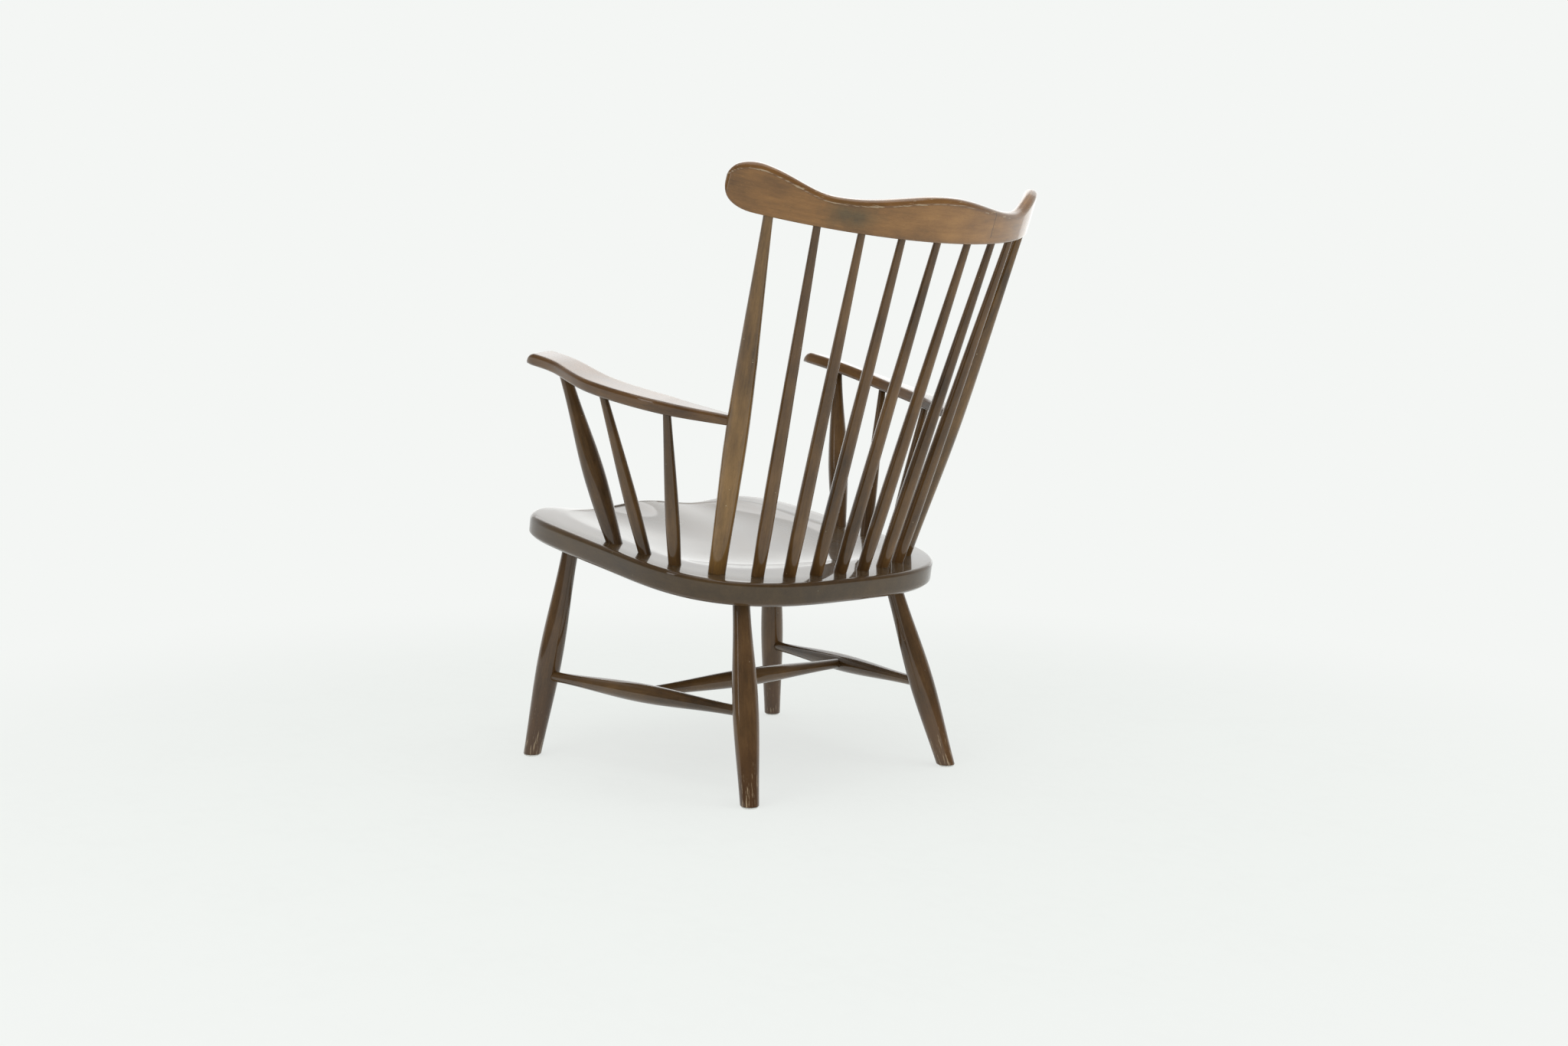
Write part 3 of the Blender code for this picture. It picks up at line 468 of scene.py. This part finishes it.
def carveSeat():
    turns = [2.0 * pi * i / seat["spokes"] for i in range(seat["spokes"])]
    place = (Matrix.Translation((0.0, seat["setBack"], seat["height"]))
             @ Matrix.Rotation(-seat["tilt"], 4, "X"))
    thick, chamfer, arris = seat["thickness"], seat["chamfer"], seat["arris"]
    rubbedUnder, rubbedCorner, rubbedOver = seat["chamferRubbed"]

    def ring(reach, height, onTop=True, rubbed=0.0):
        corners = []
        for phi in turns:
            x, y = reach(phi) * cos(phi), reach(phi) * sin(phi)
            z = height(phi) - (thighHollow(x, y) if onTop else 0.0)
            corners.append((place @ Vector((x, y, z)), (x + seat["grainAway"], z, y), rubbed))
        return corners

    def edgeRound(phi):
        return seat["edgeRound"] + (seat["frontRound"] - seat["edgeRound"]) * max(0.0, -sin(phi)) ** 2

    def inFrom(inset):
        return lambda phi: seatReach(phi) - inset

    def towardsScoop(share):
        return lambda phi: (seatReach(phi) - edgeRound(phi)) * (1.0 - share) + scoopReach(phi) * share

    def level(height):
        return lambda phi: height

    # the underside, the chamfer, the side, the rounded edge, the flat rim and the scoop
    rings = [ring(lambda phi: (seatReach(phi) - chamfer) * share, level(-thick), False)
             for share in seat["underShares"]]
    rings.append(ring(inFrom(chamfer + arris), level(-thick), False))
    rings.append(ring(inFrom(chamfer - seat["arrisIn"]), level(seat["arrisUp"] - thick), False, rubbedUnder))
    rings.append(ring(inFrom(arris), level(chamfer - arris - thick), False, rubbedCorner))
    rings.append(ring(seatReach, level(chamfer + arris - thick), False, rubbedOver))
    for share in seat["sideShares"]:
        rings.append(ring(seatReach, lambda phi: (chamfer - thick) * (1.0 - share) - edgeRound(phi) * share,
                          False))
    for i in range(seat["edgeRings"]):
        turn = 0.5 * pi * i / (seat["edgeRings"] - 1)
        rings.append(ring(lambda phi: seatReach(phi) - edgeRound(phi) * (1.0 - cos(turn)),
                          lambda phi: -edgeRound(phi) * (1.0 - sin(turn)), True,
                          seat["edgeRubbed"] * sin(2.0 * turn)))
    for share in seat["rimShares"]:
        rings.append(ring(towardsScoop(share), level(0.0)))
    for i in range(seat["scoopRings"]):
        share = 1.0 - i / seat["scoopRings"]
        depth = seat["scoopDepth"] * (1.0 - share ** seat["scoopFullness"]) if i else seat["scoopLip"]
        rings.append(ring(lambda phi: scoopReach(phi) * share, level(-depth)))
    wood = stainedWood("stained beech seat", seat["tone"], seat["gloss"], seat["speckAbove"], seat["figure"])
    finishPiece(drawRings("saddledSeat", rings), wood, ["seat"], sharpAt=60.0)

carveSeat()
print("seat carved")

crest = {
    "lean": radians(19.5), "bendHalfWidth": 0.400, "bendDepth": 0.272, "setBack": 0.1016, "lowerEdge": 0.9985,
    "thickness": 0.0218, "hump": 0.0717, "dip": 0.0488, "dipAt": 0.205, "ear": 0.0750, "earAt": 0.320,
    "lobeStart": 0.305, "tip": 0.3445, "lobeCentre": 0.040, "lobePower": 2.5, "tipRound": 0.009,
    "topRound": 0.0085, "bottomRound": 0.0040,
    "steps": 36, "lobeTurns": (8, 16, 24, 32, 40, 48, 55, 61, 67, 72, 77, 81, 84, 86.5, 88.3),
    "rubbedLine": 0.79, "rubbedShort": 0.35, "shortBefore": -0.10,   # it fades near the right ear
    "underRubbed": ((0.1,), (0.3,)), "topRubbed": (0.5, 0.45), "frontRubbed": (0.4, 0.3, 0.2),
    # the rail's tone is raised: partly a lighter board, partly painted light for what the high rail catches
    # from above and from the left
    "grainAway": 5.0, "tone": (2.3, 2.05, 1.55), "gloss": 0.08, "speckAbove": 0.965, "figure": 1.6,
}
crestMarks = {
    "crackAt": -0.122, "crackHalfWidth": 0.0006, "crackWaver": 0.004, "crackNoise": 160.0, "crackLean": -0.05,
    "crackFrom": 0.012, "crackTo": 0.062,
    "smudgeAt": (0.026, 0.185), "smudgeReach": (0.023, 0.052), "smudgeTint": (0.42, 0.56, 0.80),
    "smudgeNoise": 60.0, "smudgeRagged": 0.9, "smudgeFade": ((0.32, 1.0), (0.85, 0.0)),
}

def crestPoint(x, offset, height):
    angle = asin(x / crest["bendHalfWidth"])
    across = crest["bendHalfWidth"] * cos(angle)
    inwards = crest["bendDepth"] * sin(angle)
    length = sqrt(across * across + inwards * inwards)
    back = crest["setBack"] - crest["bendDepth"] * (1.0 - cos(angle)) + offset * across / length
    rise = crest["lowerEdge"] + height
    return Vector((x + offset * inwards / length,
                   back * cos(crest["lean"]) + rise * sin(crest["lean"]) + seat["setBack"],
                   rise * cos(crest["lean"]) - back * sin(crest["lean"])))

def ease(u):
    return sin(pi * max(0.0, min(1.0, u)) / 2.0) ** 2

def crestHeight(x):
    x = abs(x)
    if x < crest["dipAt"]:
        return crest["hump"] + (crest["dip"] - crest["hump"]) * ease(x / crest["dipAt"])
    past = (x - crest["dipAt"]) / (crest["earAt"] - crest["dipAt"])
    return crest["dip"] + (crest["ear"] - crest["dip"]) * ease(past)

sectionSteps = 7
unrubbedFrom = 0.003   # metres in from each edge

def roundedSection(low, high, halfThickness, lowRound, highRound, rubbedAt):
    # round a board's section from its lower front corner; rubbedAt says how rubbed each corner is
    limit = min(halfThickness, (high - low) / 2.0) * 0.98   # a little flat is left between the rounds
    lowRound, highRound = min(lowRound, limit), min(highRound, limit)
    corners = ((-halfThickness + lowRound, low + lowRound, lowRound, pi),
               (halfThickness - lowRound, low + lowRound, lowRound, 1.5 * pi),
               (halfThickness - highRound, high - highRound, highRound, 0.0),
               (-halfThickness + highRound, high - highRound, highRound, 0.5 * pi))
    arcs = []
    for (offset, height, radius, first), rubbed in zip(corners, rubbedAt):
        arc = []
        for i in range(sectionSteps + 1):
            turn = first + 0.5 * pi * i / sectionSteps
            wear = rubbed[min(i, len(rubbed) - 1)]
            arc.append((offset + radius * cos(turn), height + radius * sin(turn), wear))
        arcs.append(arc)
    section = []
    for arc, after in zip(arcs, arcs[1:] + arcs[:1]):
        section += arc
        flat = Vector(after[0][:2]) - Vector(arc[-1][:2])
        margin = min(unrubbedFrom / flat.length, 0.33)
        for share in (margin, 1.0 - margin):
            section.append((*(Vector(arc[-1][:2]) + flat * share), 0.0))
    return section

def crestRing(x):
    low, high, halfThickness = 0.0, crestHeight(x), crest["thickness"] / 2.0
    if abs(x) > crest["lobeStart"]:
        u = (abs(x) - crest["lobeStart"]) / (crest["tip"] - crest["lobeStart"])
        close = max(0.0, 1.0 - u ** crest["lobePower"]) ** (1.0 / crest["lobePower"])
        low = crest["lobeCentre"] * (1.0 - close)
        high = crest["lobeCentre"] + (high - crest["lobeCentre"]) * close
    past = (abs(x) - (crest["tip"] - crest["tipRound"])) / crest["tipRound"]
    if past > 0.0:
        halfThickness *= sqrt(max(0.0, 1.0 - past * past))
    line = crest["rubbedLine"] * (1.0 if x > crest["shortBefore"] else crest["rubbedShort"])
    section = roundedSection(low, high, halfThickness, crest["bottomRound"], crest["topRound"],
                             (*crest["underRubbed"], (line, *crest["topRubbed"]), crest["frontRubbed"]))
    arc = crest["bendHalfWidth"] * asin(x / crest["bendHalfWidth"])
    return [(crestPoint(x, offset, height), (offset + crest["grainAway"], height, arc), rubbed)
            for offset, height, rubbed in section]

def bendCrestRail():
    half = [crest["lobeStart"] * i / crest["steps"] for i in range(crest["steps"] + 1)]
    lobe = crest["tip"] - crest["lobeStart"]
    half += [crest["lobeStart"] + lobe * sin(radians(turn)) for turn in crest["lobeTurns"]]
    stations = [-x for x in reversed(half[1:])] + half
    wood = stainedWood("stained beech crest rail with painted light", crest["tone"], crest["gloss"], crest["speckAbove"],
                       crest["figure"], crestMarks)
    finishPiece(drawRings("crestBoard", [crestRing(x) for x in stations]), wood, ["crest_rail"], sharpAt=60.0)

bendCrestRail()
print("crest rail bent")

# each arm runs from its nose over three uprights to the back post: x, y, underside and half width
armRest = {
    "stations": ((0.3250, -0.2040, 0.7052, 0.0245), (0.3211, -0.1253, 0.6895, 0.0240),
                 (0.3285, -0.0087, 0.6592, 0.0263), (0.3018, 0.1276, 0.6317, 0.0240)),
    "endHeight": 0.6120, "endHalfWidth": 0.0090, "thickness": 0.0215, "endThickness": 0.0165,
    "cant": radians(8.3), "round": 0.0060, "nose": 0.022, "noseThickness": 0.12, "steps": 14,
    "noseShares": (0.004, 0.016, 0.04, 0.08, 0.14, 0.22, 0.32, 0.44, 0.58, 0.74, 0.9),
    "noseGap": 0.02, "lookAhead": 0.01, "underRubbed": (0.1,), "topRubbed": (0.2, 0.4, 0.2),
    "tone": (0.85, 0.76, 0.60), "gloss": 0.055, "speckAbove": 0.955, "figure": 0.9,
}

def smoothBetween(a, b, c, d, t):
    # a smooth curve from b to c, with a before it and d after it
    return 0.5 * (2.0 * b + (c - a) * t + (2.0 * a - 5.0 * b + 4.0 * c - d) * t * t
                  + (3.0 * b - a - 3.0 * c + d) * t * t * t)

def shapeArm(name, node, side, post, material, grainAway):
    foot, head = ends(post)
    onPost = foot.lerp(head, (armRest["endHeight"] - foot.z) / (head.z - foot.z))
    stations = [Vector((side * x, y + seat["setBack"], z, width)) for x, y, z, width in armRest["stations"]]
    stations.append(Vector((*onPost, armRest["endHalfWidth"])))
    path = [stations[0] * 2.0 - stations[1]] + stations + [stations[-1] * 2.0 - stations[-2]]
    last = len(stations) - 1
    firstLength = (stations[1] - stations[0]).to_3d().length

    def at(t):
        i = min(int(t), last - 1)
        return smoothBetween(path[i], path[i + 1], path[i + 2], path[i + 3], t - i)

    def ring(t):
        point = at(t)
        ahead, behind = min(t + armRest["lookAhead"], last), max(t - armRest["lookAhead"], 0.0)
        along = (at(ahead) - at(behind)).to_3d().normalized()
        outwards = along.cross(Vector((0.0, 0.0, 1.0))).normalized() * side
        up = outwards.cross(along).normalized() * side
        out = outwards * cos(armRest["cant"]) - up * sin(armRest["cant"])
        top = outwards * sin(armRest["cant"]) + up * cos(armRest["cant"])
        travelled = t * firstLength
        thickness = armRest["thickness"]
        thickness += (armRest["endThickness"] - armRest["thickness"]) * max(0.0, t - last + 1.0)
        width = point.w
        if travelled < armRest["nose"]:
            rounding = sqrt(1.0 - (1.0 - travelled / armRest["nose"]) ** 2)
            thickness *= armRest["noseThickness"] + (1.0 - armRest["noseThickness"]) * rounding
            width -= armRest["round"] * (1.0 - rounding)
        under, over = armRest["underRubbed"], armRest["topRubbed"]
        section = roundedSection(0.0, thickness, width, armRest["round"], armRest["round"],
                                 (under, under, over, over))
        return [(point.to_3d() + out * offset + top * height,
                 (offset + grainAway, height, point.y), rubbed) for offset, height, rubbed in section]

    nose = [armRest["nose"] * share / firstLength for share in armRest["noseShares"]]
    later = [i / armRest["steps"] for i in range(1, last * armRest["steps"] + 1)]
    later = [t for t in later if t > nose[-1] + armRest["noseGap"]]
    piece = drawRings(name, [ring(t) for t in [0.0] + nose + later])
    finishPiece(piece, material, [node], sharpAt=60.0)

armWood = stainedWood("stained beech arms", armRest["tone"], armRest["gloss"], armRest["speckAbove"],
                      armRest["figure"])
shapeArm("armRestLeft", "arm_left", 1.0, "back_post_left", armWood, grainAway=7.0)
shapeArm("armRestRight", "arm_right", -1.0, "back_post_right", armWood, grainAway=9.0)
print("arms shaped")

glide = {
    "radius": 0.0142, "flatRadius": 0.0122, "thickness": 0.003, "rim": 0.0007, "sides": 48,
    "metallic": 0.5,   # half metallic, so the pale plate colour also shows lit: a painted reflection of the pale floor on the rim
    "noiseScale": 500.0,
    "plate": ((0.35, (0.66, 0.64, 0.60)), (0.65, (0.86, 0.85, 0.82))),
    "roughness": ((0.3, 0.22), (0.7, 0.42)),
}

def nickelWithPaintedReflection():
    material = bpy.data.materials.new("nickel plate")
    material.use_nodes = True
    tree = material.node_tree
    shader = tree.nodes["Principled BSDF"]
    place = addNode(tree, "ShaderNodeTexCoord", (-900, 0)).outputs["Object"]
    dull = noiseAt(tree, place, (-600, 0), glide["noiseScale"], 3.0)
    feed(tree, shader.inputs["Base Color"], rampAt(tree, dull, (-400, 0), glide["plate"]))
    feed(tree, shader.inputs["Roughness"], rampAt(tree, dull, (-400, -250), glide["roughness"]))
    shader.inputs["Metallic"].default_value = glide["metallic"]
    return material

def pressGlides():
    metal = nickelWithPaintedReflection()
    rise = glide["thickness"] / 2.0
    wide = glide["radius"] / glide["flatRadius"]
    for node in [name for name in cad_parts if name.startswith("glide_")]:
        low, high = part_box(node)
        centre = ((low.x + high.x) / 2.0, (low.y + high.y) / 2.0, low.z)
        deselectAll()
        bpy.ops.mesh.primitive_circle_add(vertices=glide["sides"], radius=glide["flatRadius"],
                                          fill_type="NGON", location=centre)
        piece = bpy.context.object
        piece.name = piece.data.name = "button_" + node
        bpy.ops.object.mode_set(mode="EDIT")
        bpy.ops.mesh.select_all(action="SELECT")
        bpy.ops.mesh.extrude_region_move(TRANSFORM_OT_translate={"value": (0.0, 0.0, rise)})
        bpy.ops.transform.resize(value=(wide, wide, 1.0), center_override=centre)
        bpy.ops.mesh.extrude_region_move(TRANSFORM_OT_translate={"value": (0.0, 0.0, rise)})
        bpy.ops.mesh.select_all(action="SELECT")
        bpy.ops.mesh.normals_make_consistent(inside=False)
        bpy.ops.object.mode_set(mode="OBJECT")
        bevel = piece.modifiers.new("rounded rim", "BEVEL")
        bevel.width = glide["rim"]
        bevel.segments = 4
        bevel.limit_method = "ANGLE"
        bevel.angle_limit = radians(20.0)
        bpy.ops.object.modifier_apply(modifier=bevel.name)
        finishPiece(piece, metal, [node])

dowel = {
    "noiseScale": 300.0, "stretch": (1.0, 0.1, 1.0),
    "colour": ((0.3, (0.36, 0.23, 0.12)), (0.7, (0.52, 0.36, 0.21))),
    "roughness": ((0.3, 0.55), (0.7, 0.7)),
}

def bareDowel():
    material = bpy.data.materials.new("bare beech dowel")
    material.use_nodes = True
    tree = material.node_tree
    shader = tree.nodes["Principled BSDF"]
    place = addNode(tree, "ShaderNodeTexCoord", (-900, 0)).outputs["Object"]
    grain = noiseAt(tree, place, (-600, 0), dowel["noiseScale"], 4.0, 0.6, dowel["stretch"])
    feed(tree, shader.inputs["Base Color"], rampAt(tree, grain, (-400, 0), dowel["colour"]))
    feed(tree, shader.inputs["Roughness"], rampAt(tree, grain, (-400, -250), dowel["roughness"]))
    return material

pressGlides()
dowelWood = bareDowel()
for node in ("arm_dowel_left", "arm_dowel_right"):
    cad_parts[node].data.materials.clear()
    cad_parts[node].data.materials.append(dowelWood)
print("glides and dowels finished")

# solved from the photo by the chair's own symmetry
camera = {
    "place": (2.1518592760, 2.4262257830 + seat["setBack"], 0.7524093955),
    "turn": 137.46847, "down": 5.753399, "roll": 0.869344, "lens": 42.11683,
}
cameraData = bpy.data.cameras.new("camera")
cameraData.sensor_width = 36.0
cameraData.lens = camera["lens"]
cameraData.clip_start = 0.05
cameraData.clip_end = 100.0
cameraObject = bpy.data.objects.new("camera", cameraData)
scene.collection.objects.link(cameraObject)
cameraObject.matrix_world = (Matrix.Translation(camera["place"])
                             @ Matrix.Rotation(radians(camera["turn"]), 4, "Z")
                             @ Matrix.Rotation(radians(90.0 - camera["down"]), 4, "X")
                             @ Matrix.Rotation(radians(camera["roll"]), 4, "Z"))
scene.camera = cameraObject

room = {
    "backdrop": (0.905, 0.922, 0.905),   # seen behind the chair and in its lacquer
    "backdropWay": (-0.66, -0.72, -0.20),
    "darkSide": 0.16,                    # what the lacquer shows of the rest of the room
    "darkTo": 0.0, "brightFrom": 0.60,   # cosines to backdropWay, between which the room grows bright
    "ambient": 0.48,                     # soft light from all round
}
# one that gleams is only seen in the lacquer, and one that doesn't only lights; level is its radiance
softboxes = {
    "brightWall": dict(at=(-2.9, -3.2, 2.7), faces=(0.0, 0.0, 2.0), size=(7.0, 4.7), level=0.6, gleams=True),
    "highPanel": dict(at=(-1.6, -3.2, 3.1), faces=(0.3, -0.1, 0.7), size=(4.4, 1.5), level=0.85, gleams=True),
    "overhead": dict(at=(0.2, 0.1, 3.4), faces=(0.0, 0.0, 0.0), size=(4.0, 4.0), level=0.9, gleams=False),
    "leftKey": dict(at=(2.9, 0.6, 1.9), faces=(0.0, 0.0, 0.6), size=(1.8, 1.8), level=1.9, gleams=False),
    "leftStrip": dict(at=(2.9, -0.65, 1.5), faces=(0.0, 0.0, 0.6), size=(0.4, 1.8), level=2.2, gleams=True),
    "ceilingGlint": dict(at=(0.0, 0.3, 3.6), faces=(0.0, 0.2, 0.4), size=(3.4, 3.4), level=1.3, gleams=True),
    "backFill": dict(at=(-1.5, 2.9, 1.2), faces=(0.0, 0.2, 0.7), size=(2.0, 1.6), level=2.4, gleams=False),
}

def seenNotLit(tree):
    # 1 for the camera and for what shiny pieces show, 0 for light that falls on the chair
    path = addNode(tree, "ShaderNodeLightPath", (-900, 500))
    seen = mathAt(tree, "MAXIMUM", path.outputs["Is Camera Ray"], path.outputs["Is Glossy Ray"], (-700, 500))
    return mathAt(tree, "MAXIMUM", seen, path.outputs["Is Transmission Ray"], (-550, 500))

def lightRoom():
    world = bpy.data.worlds.new("room")
    scene.world = world
    world.use_nodes = True
    tree = world.node_tree
    tree.nodes.clear()
    soft = addNode(tree, "ShaderNodeBackground", (-300, 0))
    feed(tree, soft.inputs["Color"], (1.0, 1.0, 1.0))
    feed(tree, soft.inputs["Strength"], room["ambient"])

    # the room is white towards the backdrop and dark the other way, as the lacquer shows
    way = addNode(tree, "ShaderNodeVectorMath", (-1100, -200), operation="DOT_PRODUCT")
    feed(tree, way.inputs[0], addNode(tree, "ShaderNodeTexCoord", (-1300, -200)).outputs["Generated"])
    way.inputs[1].default_value = room["backdropWay"]
    level = addNode(tree, "ShaderNodeMapRange", (-900, -200), interpolation_type="SMOOTHSTEP")
    feed(tree, level.inputs["Value"], way.outputs["Value"])
    feed(tree, level.inputs["From Min"], room["darkTo"])
    feed(tree, level.inputs["From Max"], room["brightFrom"])
    feed(tree, level.inputs["To Min"], room["darkSide"])
    byCamera = addNode(tree, "ShaderNodeLightPath", (-900, -450)).outputs["Is Camera Ray"]
    plain = addNode(tree, "ShaderNodeBackground", (-300, -150))
    feed(tree, plain.inputs["Color"], room["backdrop"])
    strength = mathAt(tree, "MAXIMUM", level.outputs["Result"], byCamera, (-600, -250))
    feed(tree, plain.inputs["Strength"], strength)
    mix = addNode(tree, "ShaderNodeMixShader", (0, 0))
    feed(tree, mix.inputs[0], seenNotLit(tree))
    feed(tree, mix.inputs[1], soft.outputs[0])
    feed(tree, mix.inputs[2], plain.outputs[0])
    feed(tree, addNode(tree, "ShaderNodeOutputWorld", (200, 0)).inputs[0], mix.outputs[0])

    for name, box in softboxes.items():
        width, height = box["size"]
        data = bpy.data.lights.new(name, "AREA")
        data.shape = "RECTANGLE"
        data.size = width
        data.size_y = height
        data.energy = box["level"] * pi * width * height
        lamp = bpy.data.objects.new(name, data)
        scene.collection.objects.link(lamp)
        lamp.location = box["at"]
        way = Vector(box["faces"]) - Vector(box["at"])
        lamp.rotation_euler = way.to_track_quat("-Z", "Y").to_euler()
        lamp.visible_camera = False
        lamp.visible_glossy = box["gleams"]
        lamp.visible_diffuse = not box["gleams"]

floorLook = {
    "size": 24.0, "cuts": 11, "roughness": 0.75,
    "colour": (0.86, 0.925, 0.870), "dimmed": 0.955, "dimmedAt": (0.22, 0.40),
    "patchScale": 5.0, "scuffScale": 38.0,
    "glow": 0.74,                             # share that keeps the backdrop's colour, so shadows stay light
    "clearRadius": 0.8, "fadeRadius": 2.1,    # beyond the second the floor is all backdrop
}

def layFloor():
    deselectAll()
    bpy.ops.mesh.primitive_plane_add(size=floorLook["size"], location=(0.0, 0.0, 0.0))
    bpy.ops.object.mode_set(mode="EDIT")
    bpy.ops.mesh.subdivide(number_cuts=floorLook["cuts"])
    bpy.ops.object.mode_set(mode="OBJECT")
    floor = bpy.context.object
    floor.name = floor.data.name = "studioFloor"
    material = bpy.data.materials.new("studio floor")
    material.use_nodes = True
    tree = material.node_tree
    shader = tree.nodes["Principled BSDF"]
    shader.inputs["Roughness"].default_value = floorLook["roughness"]
    shader.inputs["Specular IOR Level"].default_value = 0.0
    place = addNode(tree, "ShaderNodeTexCoord", (-1300, 0)).outputs["Object"]
    patch = noiseAt(tree, place, (-900, 200), floorLook["patchScale"], 5.0, 0.6)
    scuff = noiseAt(tree, place, (-900, -50), floorLook["scuffScale"], 4.0, 0.7, (1.0, 0.6, 1.0))
    marks = mathAt(tree, "MULTIPLY", patch, scuff, (-700, 100))
    dim = tuple(channel * floorLook["dimmed"] for channel in floorLook["colour"])
    clearAt, dimAt = floorLook["dimmedAt"]
    colour = rampAt(tree, marks, (-520, 100), ((clearAt, floorLook["colour"]), (dimAt, dim)))
    feed(tree, shader.inputs["Base Color"], colour)
    length = addNode(tree, "ShaderNodeVectorMath", (-900, -350), operation="LENGTH")
    feed(tree, length.inputs[0], place)
    fade = addNode(tree, "ShaderNodeMapRange", (-500, -250), interpolation_type="SMOOTHSTEP")
    feed(tree, fade.inputs["Value"], length.outputs["Value"])
    feed(tree, fade.inputs["From Min"], floorLook["clearRadius"])
    feed(tree, fade.inputs["From Max"], floorLook["fadeRadius"])
    feed(tree, fade.inputs["To Min"], floorLook["glow"])
    glowing = mathAt(tree, "MULTIPLY", fade.outputs["Result"], seenNotLit(tree), (-250, -150))
    glow = addNode(tree, "ShaderNodeEmission", (-200, -300))
    feed(tree, glow.inputs["Color"], room["backdrop"])
    mix = addNode(tree, "ShaderNodeMixShader", (300, 100))
    feed(tree, mix.inputs[0], glowing)
    feed(tree, mix.inputs[1], shader.outputs[0])
    feed(tree, mix.inputs[2], glow.outputs[0])
    feed(tree, tree.nodes["Material Output"].inputs["Surface"], mix.outputs[0])
    floor.data.materials.append(material)

lightRoom()
layFloor()
scene.view_settings.view_transform = "Standard"
print("room lit")
